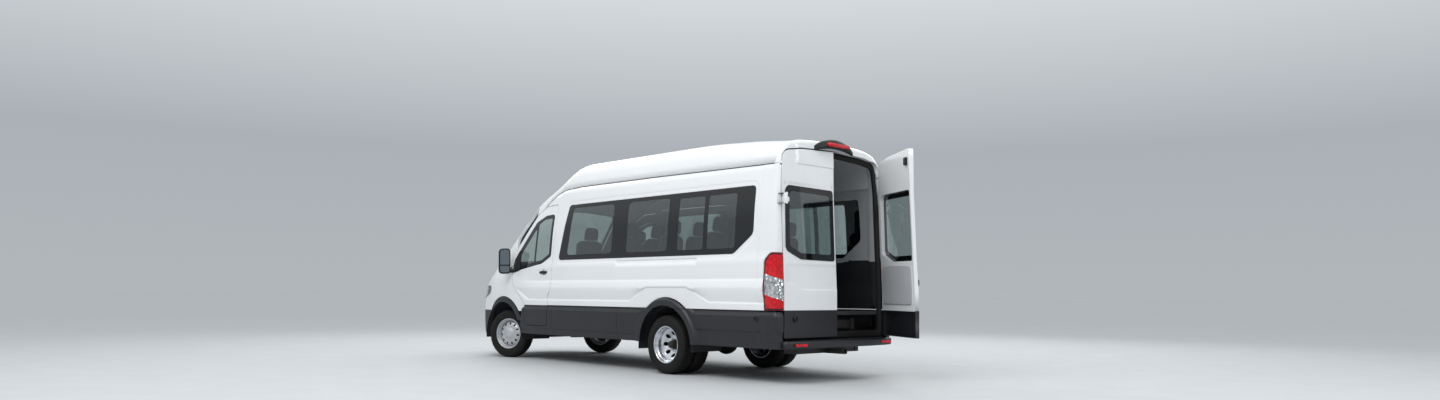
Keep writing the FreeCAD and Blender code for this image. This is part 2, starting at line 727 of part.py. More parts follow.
# Rear axle tube with its differential, on leaf springs that hang outside the rails.
SPRING_IN, SPRING_OUT = 487, 562
joined("rear_axle", [
    bound_bar("axle_tube", REAR_AXLE_CELL, -768, "sizes.tyre_radius", ALONG_Y, 1536, 45),
    bound(doc.addObject("Part::Sphere", "differential"), base_x=REAR_AXLE_CELL, base_z="sizes.tyre_radius",
          Radius=150),
] + [bound_box("spring_seat_" + word, REAR_AXLE_CELL + " - 60", low_side(sign, SPRING_IN, SPRING_OUT),
               "sizes.tyre_radius", 120, SPRING_OUT - SPRING_IN, "405 - sizes.tyre_radius")
     for word, sign in SIDES])

SPRING_PARTS = (
    # name, from the axle, in, out, bottom, length, height
    ("leaf_long", -780, 487, 562, 425, 1560, 25),
    ("leaf_short", -420, 487, 562, 405, 840, 20),
    ("shackle_rear", -800, 487, 562, 440, 60, 120),
    ("shackle_front", 740, 487, 562, 440, 60, 120),
    ("hanger_rear", -800, 470, 562, 560, 60, 40),
    ("hanger_front", 740, 470, 562, 560, 60, 40),
)
packs = []
for word, sign in SIDES:
    pack = doc.addObject("Part::MultiFuse", "spring_" + word)
    pack.Shapes = [bound_box(name + "_" + word, REAR_AXLE_CELL + " + %d" % along, low_side(sign, near, far),
                             bottom, length, far - near, height)
                   for name, along, near, far, bottom, length, height in SPRING_PARTS]
    packs.append(pack)
springs = doc.addObject("Part::Compound", "leaf_springs")
springs.Links = packs
name_node(springs, "leaf_springs")

# Front subframe with lower arms out to the knuckles and turrets up to the rails.
joined("front_subframe", [
    bound_box("subframe_plate", "sizes.front_axle_x - 260", -330, 290, 460, 660, 60),
] + [bound_box("%s_%s" % (name, word), "sizes.front_axle_x - 60", low_side(sign, near, far), bottom,
               120, far - near, height)
     for name, near, far, bottom, height in (("lower_arm", 330, 640, 260, 40), ("turret", 250, 330, 260, 300),
                                             ("turret_foot", 330, 400, 480, 120))
     for word, sign in SIDES])


# Tyres: rings of many flats, lofted through polygons whose radii and places are tied to the sheet.
TYRE_SIDES = 40
TYRE_STATIONS = (
    # how far inside the tyre's radius, how far inside its half width
    (128, 23),
    (75, 0),
    (8, 18),
    (0, 36),
)


def polygon_at(name, radius, along):
    ring = doc.addObject("Part::RegularPolygon", name)
    ring.Polygon = TYRE_SIDES
    ring.Placement.Rotation = FreeCAD.Rotation(ALONG_Z, ALONG_Y)
    return bound(ring, Circumradius=radius, base_y=along)


def tyre(name):
    """One tyre about the Y axis, its middle at the origin."""
    rings = []
    for sign, stations in ((-1, TYRE_STATIONS), (1, TYRE_STATIONS[::-1])):
        for index, (drop, inset) in enumerate(stations):
            rings.append(polygon_at("%s_ring_%d_%d" % (name, sign + 1, index), "sizes.tyre_radius - %s" % drop,
                                    "(sizes.tyre_width / 2 - %s) * %d" % (inset, sign)))
    carcass = doc.addObject("Part::Loft", name + "_carcass")
    carcass.Sections = rings
    carcass.Solid = True
    carcass.Ruled = True
    bore = doc.addObject("Part::Prism", name + "_bore")
    bore.Polygon = TYRE_SIDES
    bore.Placement.Rotation = FreeCAD.Rotation(ALONG_Z, ALONG_Y)
    bound(bore, Circumradius="sizes.rim_radius - 10", Height="sizes.tyre_width", base_y="-sizes.tyre_width / 2")
    whole = doc.addObject("Part::Cut", name)
    whole.Base = carcass
    whole.Tool = bore
    return whole


# Steel wheels: a section turned about the axle in its own body, with a ring of hand holes through the disc.
# Each corner: how far inside the rim's edge, place along the axle, outboard plus. None is on the axle.
BARREL = ((18, -84), (12, -84), (12, -72), (24, -60), (24, 60), (12, 72), (12, 84), (20, 84))
RIM_SECTIONS = {
    "front": BARREL + ((34, 60), (44, 44), (70, 44), (102, 62), (146, 78), (None, 82),
                       (None, 62), (146, 62), (102, 46), (66, 28), (44, 10), (36, -66)),
    "outer": BARREL + ((38, 62), (42, -50), (66, -60), (112, -52), (142, -52), (150, 12), (None, 12),
                       (None, -70), (112, -70), (66, -78), (36, -70)),
    "inner": BARREL[:-1] + ((30, 86), (66, 102), (None, 102),
                            (None, 72), (112, 72), (66, 84), (42, 62), (38, -66)),
}
# Hand holes of each kind: cell that counts them, distance of their ring from the axle, radius.
HAND_HOLES = {"front": ("front_holes", 163, 12), "outer": ("rear_holes", 128, 21), "inner": ("rear_holes", 128, 21)}


def origin_plane(body, role):
    return [plane for plane in body.Origin.OriginFeatures if plane.Role == role][0]


def sketch_on(body, name, role):
    sketch = body.newObject("Sketcher::SketchObject", name)
    sketch.AttachmentSupport = [(origin_plane(body, role), "")]
    sketch.MapMode = "FlatFace"
    return sketch


def tied_section(body, name, corners):
    """The closed section, with each corner's distance from the axle tied to the rim's radius."""
    sketch = sketch_on(body, name, "XY_Plane")
    radii = [0 if drop is None else size("rim_radius") - drop for drop, along in corners]
    points = [Vector(radius, along, 0) for radius, (drop, along) in zip(radii, corners)]
    for here, after in zip(points, points[1:] + points[:1]):
        sketch.addGeometry(Part.LineSegment(here, after), False)
    for i, (drop, along) in enumerate(corners):
        sketch.addConstraint(Sketcher.Constraint("Coincident", i, 2, (i + 1) % len(corners), 1))
        sketch.addConstraint(Sketcher.Constraint("DistanceY", -1, 1, i, 1, along))
        if drop is None:
            sketch.addConstraint(Sketcher.Constraint("PointOnObject", i, 1, -2))
            continue
        tie = sketch.addConstraint(Sketcher.Constraint("DistanceX", -1, 1, i, 1, radii[i]))
        sketch.setExpression("Constraints[%d]" % tie, "sizes.rim_radius - %d" % drop)
    return sketch


def steel_wheel(name, kind):
    body = doc.addObject("PartDesign::Body", name)
    section = tied_section(body, name + "_section", RIM_SECTIONS[kind])
    disc = body.newObject("PartDesign::Revolution", name + "_disc")
    disc.Profile = section
    disc.ReferenceAxis = (section, ["V_Axis"])
    disc.Angle = 360
    doc.recompute()
    cell, ring_radius, hole_radius = HAND_HOLES[kind]
    circle = sketch_on(body, name + "_hole", "XZ_Plane")
    circle.addGeometry(Part.Circle(Vector(ring_radius, 0, 0), ALONG_Z, hole_radius), False)
    circle.addConstraint(Sketcher.Constraint("Radius", 0, hole_radius))
    circle.addConstraint(Sketcher.Constraint("DistanceX", -1, 1, 0, 3, ring_radius))
    circle.addConstraint(Sketcher.Constraint("PointOnObject", 0, 3, -1))
    hole = body.newObject("PartDesign::Pocket", name + "_pocket")
    hole.Profile = circle
    hole.Type = 1
    hole.SideType = "Symmetric"
    doc.recompute()
    holes = body.newObject("PartDesign::PolarPattern", name + "_pattern")
    holes.Originals = [hole]
    holes.Axis = (section, ["V_Axis"])
    holes.Angle = 360
    holes.setExpression("Occurrences", "sizes." + cell)
    body.Tip = holes
    return body


def stand(thing, x, y, steer=0):
    """Turns the piece so that its outer side faces away from the centre line, at its wheel's middle."""
    outward = FreeCAD.Rotation(ALONG_X, 0 if y > 0 else 180)
    thing.Placement = FreeCAD.Placement(Vector(x, y, WHEEL_HEIGHT), FreeCAD.Rotation(ALONG_Z, steer) * outward)
    return thing


# Front wheels on their knuckles: the wheels stand turned about upright kingpins.
STEER = size("rest_steer")
KING = size("kingpin")
ARM = size("front_track") / 2 - KING
KING_IN = 60                       # how far the upright stands inboard of the kingpin axis
SPINDLE_OUT = 50                   # how far the spindle reaches past the wheel's middle plane
for word, sign in SIDES:
    angle = math.radians(STEER)
    wheel_x = AXLE - math.sin(angle) * ARM * sign
    wheel_y = sign * (KING + math.cos(angle) * ARM)
    name_node(stand(tyre("front_tyre_" + word), wheel_x, wheel_y, STEER), "front_tyre_" + word)
    name_node(stand(steel_wheel("front_rim_" + word, "front"), wheel_x, wheel_y, STEER), "front_rim_" + word)
    upright = Part.makeCylinder(38, 150, Vector(AXLE, sign * (KING - KING_IN), WHEEL_HEIGHT - 75), ALONG_Z)
    spindle = Part.makeCylinder(30, KING_IN + ARM + SPINDLE_OUT,
                                Vector(AXLE, sign * (KING - KING_IN), WHEEL_HEIGHT), Vector(0, sign, 0))
    low, high = sorted((sign * (KING - 75), sign * (KING - 45)))
    steering_arm = block(AXLE - 150, AXLE, low, high, 300, 330)
    swivel = FreeCAD.Placement(Vector(0, 0, 0), FreeCAD.Rotation(ALONG_Z, STEER), Vector(AXLE, sign * KING, 0))
    feature("knuckle_" + word, fuse([upright, spindle, steering_arm]), swivel)

# Twin rear wheels: the outer disc is dished inward and the inner disc outward, bolted back to back.
for word, sign in SIDES:
    for kind, make in (("tyres", lambda name, _: tyre(name)), ("rims", steel_wheel)):
        pair = doc.addObject("Part::Compound", "rear_%s_%s" % (kind, word))
        pair.Links = [
            stand(make("rear_%s_%s_%s" % (kind, word, row), row), REAR_AXLE, sign * place)
            for row, place in (("outer", size("twin_outer")), ("inner", size("twin_outer") - size("twin_spacing")))]
        name_node(pair, "rear_%s_%s" % (kind, word))

# Inside: dashboard, steering wheel, seats.
dash = prism("side", from_axle(((60, 905, 0), (60, 1330, 40), (-120, 1345, 60), (-330, 1240, 60),
                                (-300, 905, 0))), -780, 780)
feature("dashboard", dash)

# Steering wheel: a rim of straight runs on two spokes, a hub and its column, leaning as in a van.
RIM_SIDES = 24
wheel_turns = [Vector(math.cos(2 * math.pi * i / RIM_SIDES), math.sin(2 * math.pi * i / RIM_SIDES), 0)
               for i in range(RIM_SIDES + 1)]
rim_ring = Part.makeLoft([Part.makePolygon([turn * 205 for turn in wheel_turns]),
                          Part.makePolygon([turn * 205 + Vector(0, 0, 26) for turn in wheel_turns])], True, True)
rim_ring = rim_ring.cut(Part.makeCylinder(178, 60, Vector(0, 0, -10)))
rim_ring.translate(Vector(0, 0, -13))
hub = Part.makeCylinder(55, 40, Vector(0, 0, -30))
spokes = block(-185, 185, -18, 18, -12, 6)
column = Part.makeCylinder(28, 180, Vector(0, 0, -205))
wheel = fuse([rim_ring, hub, spokes, column])
wheel.rotate(Vector(0, 0, 0), Vector(0, 1, 0), -35)
wheel.translate(Vector(AXLE - 455, 440, 1290))
feature("steering_wheel", wheel.cut(dash))


FLOOR_TOP = FLOOR + size("floor_thick")


def seat(x, y, width):
    """One seat: cushion, leaning back and head rest on a box foot."""
    cushion = block(x - 230, x + 240, y - width / 2, y + width / 2, 1080, 1200)
    back = prism("side", ((x - 330, 1130, 20), (x - 220, 1130, 20), (x - 330, 1720, 40), (x - 430, 1720, 40)),
                 y - width / 2, y + width / 2)
    head = prism("side", ((x - 350, 1700, 10), (x - 430, 1700, 10), (x - 450, 1900, 40), (x - 365, 1900, 40)),
                 y - 130, y + 130)
    foot = block(x - 190, x + 190, y - width / 2 + 40, y + width / 2 - 40, FLOOR_TOP, 1090)
    return fuse([cushion, back, head, foot])


feature("front_seats", Part.makeCompound([seat(AXLE - 1000, 440, 500), seat(AXLE - 1000, -440, 500)]))

SEAT_ROWS = (
    # along, out, width
    (-2150, 610, 430), (-2150, 160, 430),
    (-3000, 610, 430), (-3000, 160, 430), (-3000, -640, 430),
    (-3850, 610, 430), (-3850, 160, 430), (-3850, -640, 430),
)
floor_room = fuse([rod(REAR_AXLE, low, high, WHEEL_HEIGHT, size("arch_radius") + 30)
                   for low, high in ((WHEEL_BOX_IN, WHEEL_BOX_OUT), (-WHEEL_BOX_OUT, -WHEEL_BOX_IN))])
feature("passenger_seats", Part.makeCompound([
    seat(AXLE + along, out, width).cut(floor_room) for along, out, width in SEAT_ROWS]))

# Mirrors: a two glass head on a short arm from the sail at the door window's corner. The head's front is
# slanted, so that it passes the windscreen pillar when the door is open.
for side, word in ((LEFT, "left"), (RIGHT, "right")):
    head = prism("plan", [(AXLE + p[0], side * p[1], p[2]) for p in (
        (-232, 1080, 8), (-186, 1080, 20), (-112, 1165, 25), (-122, 1225, 40), (-190, 1237, 12), (-232, 1226, 8))],
        1250, 1560)
    arm = prism("plan", [(AXLE + p[0], side * p[1], p[2]) for p in (
        (-340, 960, 0), (-250, 960, 0), (-245, 1040, 0), (-215, 1050, 0), (-215, 1110, 0), (-340, 1050, 0))],
        1290, 1345)
    mirror = head.fuse(arm).cut(cabin_outer)
    feature("mirror_" + word, max(mirror.Solids, key=lambda solid: solid.Volume))

doc.recompute()
for thing in doc.Objects:
    if "Invalid" in thing.State or "Error" in thing.State:
        raise RuntimeError(thing.Label + " did not compute")
for thing in nodes:
    if thing.Shape.isNull() or not thing.Shape.isValid():
        raise RuntimeError(thing.Label + " has no valid shape")

os.makedirs("parts", exist_ok=True)
for thing in nodes:
    thing.Shape.exportStep("parts/" + thing.Label + ".step")

whole = Part.makeCompound([thing.Shape for thing in nodes]).BoundBox
print("%d pieces, %.2f to %.2f along, %.2f to %.2f across, %.2f to %.2f up, middle %.3f" % (
    len(nodes), whole.XMin, whole.XMax, whole.YMin, whole.YMax, whole.ZMin, whole.ZMax, whole.Center.x))
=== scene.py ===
import bpy
import json
import math
import numpy as np
from mathutils import Matrix, Vector
from mathutils.geometry import delaunay_2d_cdt


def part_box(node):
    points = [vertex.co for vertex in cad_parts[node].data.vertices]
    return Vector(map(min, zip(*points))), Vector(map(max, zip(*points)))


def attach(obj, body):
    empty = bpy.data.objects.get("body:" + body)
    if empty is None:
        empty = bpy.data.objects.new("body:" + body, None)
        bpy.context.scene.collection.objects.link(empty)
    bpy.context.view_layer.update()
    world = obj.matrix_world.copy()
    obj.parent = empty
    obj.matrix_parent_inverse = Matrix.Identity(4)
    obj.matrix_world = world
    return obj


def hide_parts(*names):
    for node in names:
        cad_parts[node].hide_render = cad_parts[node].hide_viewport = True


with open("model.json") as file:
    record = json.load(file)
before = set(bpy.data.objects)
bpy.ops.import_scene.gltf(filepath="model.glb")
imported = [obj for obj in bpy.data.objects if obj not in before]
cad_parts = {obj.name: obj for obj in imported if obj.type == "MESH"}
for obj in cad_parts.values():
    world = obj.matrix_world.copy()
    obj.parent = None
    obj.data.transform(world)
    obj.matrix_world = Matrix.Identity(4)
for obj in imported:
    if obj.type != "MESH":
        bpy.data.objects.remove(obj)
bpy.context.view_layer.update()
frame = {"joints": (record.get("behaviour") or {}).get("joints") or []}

# Camera. It stands behind and to the left of the vehicle at eye height. Lengths along the vehicle count from
# the front axle, forward is plus, as in a maker's drawing; AXLE_X moves them into the model's frame.
tyre_boxes = [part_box("front_tyre_left"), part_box("front_tyre_right")]
AXLE_X = sum(corner.x for box in tyre_boxes for corner in box) / 4
camera_data = bpy.data.cameras.new("eye_level_camera")
camera_data.lens = 23.4
camera_data.clip_end = 1500
camera = bpy.data.objects.new("eye_level_camera", camera_data)
bpy.context.scene.collection.objects.link(camera)
bpy.context.scene.camera = camera
CAMERA_PLACE = (-12.39, 8.39, 0.96)
YAW, PITCH, ROLL = math.radians(-43.69), math.radians(5.73), math.radians(0.46)
camera.location = Vector(CAMERA_PLACE) + Vector((AXLE_X, 0, 0))
camera.rotation_euler = (Matrix.Rotation(YAW - math.pi / 2, 3, "Z") @ Matrix.Rotation(math.pi / 2 + PITCH, 3, "X")
                         @ Matrix.Rotation(ROLL, 3, "Z")).to_euler()
bpy.context.scene.view_settings.view_transform = "Standard"

# Floor and light. A pale studio floor under an even bright dome, one wide soft lamp high on the left and
# weaker ones around, so that the pressed lines of the white sides show.


def hex_colour(text):
    """An sRGB hex colour as linear red, green, blue and alpha."""
    parts = [int(text[i:i + 2], 16) / 255 for i in (1, 3, 5)]
    return tuple(c / 12.92 if c <= 0.04045 else ((c + 0.055) / 1.055) ** 2.4 for c in parts) + (1.0,)


def add_node(tree, kind, sockets=None, **settings):
    """One node with its settings; each socket takes a value or the output that feeds it."""
    node = tree.nodes.new(kind)
    for name, value in settings.items():
        setattr(node, name, value)
    for socket, value in (sockets or {}).items():
        if isinstance(value, bpy.types.NodeSocket):
            tree.links.new(value, node.inputs[socket])
        else:
            node.inputs[socket].default_value = value
    return node


def new_material(name):
    """An empty material and its tree of nodes."""
    material = bpy.data.materials.new(name)
    material.use_nodes = True
    material.node_tree.nodes.clear()
    return material, material.node_tree


def shaded(name, dark, light, drift, surface, grain=None, cells=False, space="Object"):
    """A surface whose colour drifts between two shades, over clouds (scale, detail) or over a lens's cells.

    In surface, a pair is a roughness that follows the drift. Grain is a fine relief: scale, detail, depth and
    strength; where its scale is nought it follows the drift too. A scale counts cells in a metre, so that 500 is
    a grain of 2 mm."""
    material, tree = new_material(name)
    where = add_node(tree, "ShaderNodeTexCoord").outputs[space]
    # over a lens's cells the colour is painted light: a painted highlight in each cell's middle that fades to painted
    # shade at its edge
    if cells:
        share = add_node(tree, "ShaderNodeTexVoronoi", {"Vector": where, "Scale": drift}).outputs["Distance"]
    else:
        share = add_node(tree, "ShaderNodeTexNoise",
                         {"Vector": where, "Scale": drift[0], "Detail": drift[1]}).outputs["Fac"]
    tone = add_node(tree, "ShaderNodeMix", {0: share, 6: hex_colour(dark), 7: hex_colour(light)}, data_type="RGBA")
    sockets = {**surface, "Base Color": tone.outputs[2]}
    if isinstance(surface["Roughness"], tuple):
        low, high = surface["Roughness"]
        sockets["Roughness"] = add_node(tree, "ShaderNodeMapRange",
                                        {"Value": share, "To Min": low, "To Max": high}).outputs["Result"]
    if grain:
        scale, detail, depth, strength = grain
        height = share
        if scale:
            height = add_node(tree, "ShaderNodeTexNoise",
                              {"Vector": where, "Scale": scale, "Detail": detail}).outputs["Fac"]
        sockets["Normal"] = add_node(tree, "ShaderNodeBump",
                                     {"Height": height, "Distance": depth, "Strength": strength}).outputs[0]
    shader = add_node(tree, "ShaderNodeBsdfPrincipled", sockets)
    add_node(tree, "ShaderNodeOutputMaterial", {"Surface": shader.outputs[0]})
    return material


FLOOR_REACH = 400
floor_mesh = bpy.data.meshes.new("studio_floor")
floor_mesh.from_pydata([(x * FLOOR_REACH, y * FLOOR_REACH, 0) for x, y in ((-1, -1), (1, -1), (1, 1), (-1, 1))],
                       [], [(0, 1, 2, 3)])
floor = bpy.data.objects.new("studio_floor", floor_mesh)
bpy.context.scene.collection.objects.link(floor)
# Painted concrete: pale, even and dull, with faint clouds.
floor_paint = shaded("studio_floor_painted_concrete", "#B6B9BB", "#C2C5C7", (2.0, 6.0), {"Roughness": 0.75})
floor_mesh.materials.append(floor_paint)

studio_dome = bpy.data.worlds.new("bright_overcast_dome")
bpy.context.scene.world = studio_dome
studio_dome.use_nodes = True
tree = studio_dome.node_tree
direction = add_node(tree, "ShaderNodeTexCoord")
upward = add_node(tree, "ShaderNodeSeparateXYZ", {"Vector": direction.outputs["Generated"]})
dome = add_node(tree, "ShaderNodeValToRGB", {"Fac": upward.outputs["Z"]})
DOME_SHADES = ((0.0, "#B1B6BA"), (0.06, "#AFB4B9"), (0.15, "#ABB1B6"), (0.30, "#D3D8DC"), (0.5, "#F2F4F6"),
               (1.0, "#E6EAED"))
while len(dome.color_ramp.elements) < len(DOME_SHADES):
    dome.color_ramp.elements.new(0.5)
for element, (place, shade) in zip(dome.color_ramp.elements, DOME_SHADES):
    element.position = place
    element.color = hex_colour(shade)
lit = add_node(tree, "ShaderNodeBackground", {"Color": dome.outputs["Color"], "Strength": 1.0})
tree.links.new(lit.outputs[0], tree.nodes["World Output"].inputs["Surface"])


def area_lamp(name, place, target, size, power):
    """A wide soft lamp that faces its target."""
    lamp = bpy.data.lights.new(name, "AREA")
    lamp.shape = "RECTANGLE"
    lamp.size, lamp.size_y = size
    lamp.energy = power
    thing = bpy.data.objects.new(name, lamp)
    bpy.context.scene.collection.objects.link(thing)
    thing.location = place
    thing.rotation_euler = (Vector(target) - Vector(place)).to_track_quat("-Z", "Y").to_euler()


area_lamp("high_left_softbox", (-3, 8, 9.5), (-1, 0, 1), (9, 5), 660)
area_lamp("rear_softbox", (-11, -2, 6), (-2, 0, 1), (5, 4), 190)
area_lamp("front_softbox", (8, -1.5, 7.5), (1, 0, 1), (5, 4), 230)
area_lamp("right_softbox", (1, -10, 7), (0, 0, 1), (9, 4), 300)

# Body sides. Pressed from 0.8 mm steel sheet, welded and sprayed white. The whole van's skin is one faired
# surface, drawn here from tables of half width, roof line, bonnet line and screen slant, and each panel is
# cut from it along its own seams. Lengths are metres from the front axle.


def faired(points, spread, step=0.01):
    """A table of (place, value) read with its corners rounded over about twice the spread."""
    xs, ys = np.array(points, float).T
    fine = np.arange(xs[0] - 1, xs[-1] + 1, step)
    slopes = ((ys[1] - ys[0]) / (xs[1] - xs[0]), (ys[-1] - ys[-2]) / (xs[-1] - xs[-2]))
    values = np.interp(fine, xs, ys)
    values = np.where(fine < xs[0], ys[0] + (fine - xs[0]) * slopes[0], values)
    values = np.where(fine > xs[-1], ys[-1] + (fine - xs[-1]) * slopes[1], values)
    count = max(1, int(spread / step))
    kernel = np.convolve(np.ones(count) / count, np.ones(count) / count)
    pad = len(kernel) // 2
    smooth = np.convolve(values, kernel, "same")
    smooth[:pad + 1] = values[:pad + 1]
    smooth[-pad - 1:] = values[-pad - 1:]
    return lambda at: np.interp(at, fine, smooth)


half_width = faired(((0.30, 0.984), (0.785, 1.012), (1.09, 1.0325), (1.90, 0.984), (2.37, 0.926), (2.90, 0.832)), 0.16)
roof_line = faired(((-5.70, 2.688), (-5.0, 2.752), (-4.3, 2.775), (-3.3, 2.775), (-2.35, 2.773), (-1.6, 2.772),
                    (-1.04, 2.46), (-0.5, 2.34)), 0.25)
bonnet_line = faired(((-1.0, 1.345), (0.33, 1.335), (0.80, 1.215), (1.02, 1.06), (1.10, 0.98)), 0.12)
nose_inset = faired(((-0.9, 0.0), (-0.15, 0.010), (0.33, 0.045), (0.80, 0.145), (1.05, 0.24)), 0.2)
face_lean = faired(((0.30, 0.03), (0.5, 0.0), (0.72, 0.0), (0.98, 0.045), (1.15, 0.15)), 0.12)
REAR_X, REAR_LEAN = -5.56, 0.035
SCREEN_SLOPE, SCREEN_FOOT = math.radians(40.5), 1.38


def smooth_max(one, two, radius):
    """The larger of two fields, with the corner between them rounded."""
    blend = np.clip(0.5 + (one - two) / (2 * radius), 0, 1)
    return two * (1 - blend) + one * blend + radius * blend * (1 - blend)


def step_up(value):
    """Nought to one with soft ends."""
    value = np.clip(value, 0, 1)
    return value * value * (3 - 2 * value)


def plain_form(p):
    """Signed field of the skin without its pressed lines: below nought inside."""
    x, y, z = p[:, 0], np.abs(p[:, 1]), p[:, 2]
    # how far ahead a point lies when slid down the windscreen to its foot; the sides draw in towards it
    foot = x + (z - SCREEN_FOOT) / math.tan(SCREEN_SLOPE)
    high = step_up((z - 2.0) / 0.6)
    taper = 0.055 * np.clip((foot + 0.95) / 1.2, 0, 1.3) ** 1.6 * (1 - 0.6 * high)
    side = y - half_width(z) + np.maximum(taper, nose_inset(x))
    # the curved windscreen, the crowned roof that falls to the rear, and the leaning rear face
    screen = (foot - 0.42 + (0.08 * y ** 2 + 0.068 * y ** 6) * (1 - 0.35 * high)) * math.sin(SCREEN_SLOPE)
    top = z - roof_line(x) + (0.026 + 0.036 * step_up((-3.9 - x) / 1.5)) * (y / 0.87) ** 2
    rear = REAR_X + REAR_LEAN * np.clip(z - 1.0, 0, 3) - x
    cabin = smooth_max(smooth_max(side, screen, 0.13), top, 0.215)
    # the bonnet and the rounded nose below it
    nose_top = z - bonnet_line(x) + 0.05 * (y / 0.72) ** 2.5
    face = x - (1.0195 - 0.36 * y ** 4) + face_lean(z)
    whole = -smooth_max(-cabin, -smooth_max(side, nose_top, 0.13), 0.05)
    return smooth_max(smooth_max(whole, face, 0.10), rear, 0.045)


def rounded(corners, step=0.03):
    """Corners (across, up, radius) as a dense loop of points with round corners."""
    points = [np.array(c[:2], float) for c in corners]
    loop = []
    for i, here in enumerate(points):
        before, after, radius = points[i - 1], points[(i + 1) % len(points)], corners[i][2]
        back = (before - here) / np.linalg.norm(before - here)
        ahead = (after - here) / np.linalg.norm(after - here)
        half = math.acos(max(-1, min(1, float(back @ ahead)))) / 2
        if radius <= 0 or abs(half - math.pi / 2) < 1e-3:
            loop.append(here)
            continue
        cut, turn = radius / math.tan(half), math.pi - 2 * half
        centre = here + (back + ahead) / np.linalg.norm(back + ahead) * radius / math.sin(half)
        start, end = here + back * cut - centre, here + ahead * cut - centre
        spans = max(3, int(radius * turn / 0.015) + 1)
        for share in np.linspace(0, 1, spans + 1):
            arm = start * math.sin((1 - share) * turn) + end * math.sin(share * turn)
            loop.append(centre + arm / math.sin(turn))
    return dense(loop, step)


def dense(loop, step=0.03):
    """Points added along a closed loop so that none are further apart than a step."""
    made = []
    for here, after in zip(loop, list(loop[1:]) + [loop[0]]):
        here, after = np.array(here, float), np.array(after, float)
        count = max(1, math.ceil(np.linalg.norm(after - here) / step))
        made += [here + (after - here) * k / count for k in range(count)]
    return np.array(made)


def moved(loop, by):
    """A closed loop grown outward, or shrunk when by is below nought."""
    ahead = np.roll(loop, -1, 0) - loop
    ahead /= np.maximum(np.linalg.norm(ahead, axis=1), 1e-9)[:, None]
    back = np.roll(ahead, 1, 0)
    middle = ahead + back
    middle /= np.maximum(np.linalg.norm(middle, axis=1), 1e-9)[:, None]
    turning = np.sum(loop[:, 0] * np.roll(loop[:, 1], -1) - np.roll(loop[:, 0], -1) * loop[:, 1])
    side = math.copysign(1, turning)
    stretch = 1 / np.clip(np.sum(middle * ahead, 1), 0.5, 1)
    return loop + np.stack([middle[:, 1], -middle[:, 0]], 1) * (side * by * stretch)[:, None]


def ringed(loop):
    """A closed loop as a line that ends where it starts."""
    return np.vstack([loop, loop[:1]])


def inside(points, loop):
    """Which points lie within a closed loop."""
    hit = np.zeros(len(points), bool)
    for a, b in zip(loop, np.roll(loop, -1, 0)):
        crosses = (a[1] > points[:, 1]) != (b[1] > points[:, 1])
        hit ^= crosses & (points[:, 0] < a[0] + (points[:, 1] - a[1]) * (b[0] - a[0]) / ((b[1] - a[1]) or 1e-12))
    return hit


def distance(points, line, closed=True):
    """How far points lie from a loop or a line."""
    line = np.asarray(line, float)
    ends, starts = (np.roll(line, -1, 0), line) if closed else (line[1:], line[:-1])
    best = np.full(len(points), 1e9)
    for a, b in zip(starts, ends):
        run = b - a
        share = np.clip(((points - a) @ run) / max(run @ run, 1e-12), 0, 1)
        best = np.minimum(best, np.linalg.norm(points - a - share[:, None] * run, axis=1))
    return best


# Seams in side view, (along, up, corner radius).
FRONT_DOOR = ((-1.190, 0.500, 0.03), (-0.620, 0.500, 0.03), (-0.600, 0.80, 0.15), (-0.300, 1.06, 0.2),
              (-0.215, 1.34, 0.06), (-0.330, 1.64, 0.1), (-0.770, 2.085, 0.12), (-1.0, 2.185, 0.2),
              (-1.285, 2.195, 0.04), (-1.285, 0.985, 0.06), (-1.19, 0.905, 0.06))
BAND_WINDOW = ((-1.425, 1.415, 0.045), (-4.88, 1.415, 0.09), (-5.18, 1.63, 0.10), (-5.18, 2.165, 0.045),
               (-1.59, 2.165, 0.045))
SLIDING_DOOR = ((-1.355, 0.500, 0.03), (-2.79, 0.500, 0.03), (-2.79, 2.23, 0.06), (-1.355, 2.23, 0.06))
REAR_OPENING = ((0.905, 0.480, 0.02), (0.905, 2.20, 0.5), (0.868, 2.548, 0.13), (0.56, 2.592, 0.8), (0, 2.616, 0),
                (-0.56, 2.592, 0.8), (-0.868, 2.548, 0.13), (-0.905, 2.20, 0.5), (-0.905, 0.48, 0.02))
GAP, HEM, BAND, AXLE_Z, REAR_AXLE = 0.007, 0.004, 0.785, 0.3495, -3.75
SHOULDER = 1.105
SLOT_X, SLOT_HALF, SLOT_UP = -3.515, 0.745, 1.353
HANDLE_X, HANDLE_UP = -1.085, 1.243
swage = faired(((-6.0, 0.845), (-4.50, 0.855), (-4.14, 1.025), (-3.38, 1.025), (-3.04, 0.855), (-0.68, 0.85),
                (-0.38, 1.0), (-0.2, 1.12), (0.2, 1.2)), 0.03)
ditch = faired(((-5.50, 2.393), (-3.5, 2.412), (-1.76, 2.414), (-1.407, 2.393), (-1.20, 2.335), (-1.02, 2.235),
                (-0.92, 2.155), (-0.60, 1.80)), 0.05)
band_loop = rounded(BAND_WINDOW, 0.05)
waist_profile = faired(((0.80, 0.018), (1.020, 0.018), (1.108, -0.004), (1.128, -0.014), (1.225, 0.004), (1.31, 0.012),
                        (1.41, 0.0), (1.6, 0.0)), 0.012, 0.002)
WAIST_HEIGHTS = np.arange(0.8, 1.6, 0.002)
WAIST_DEPTHS = waist_profile(WAIST_HEIGHTS)


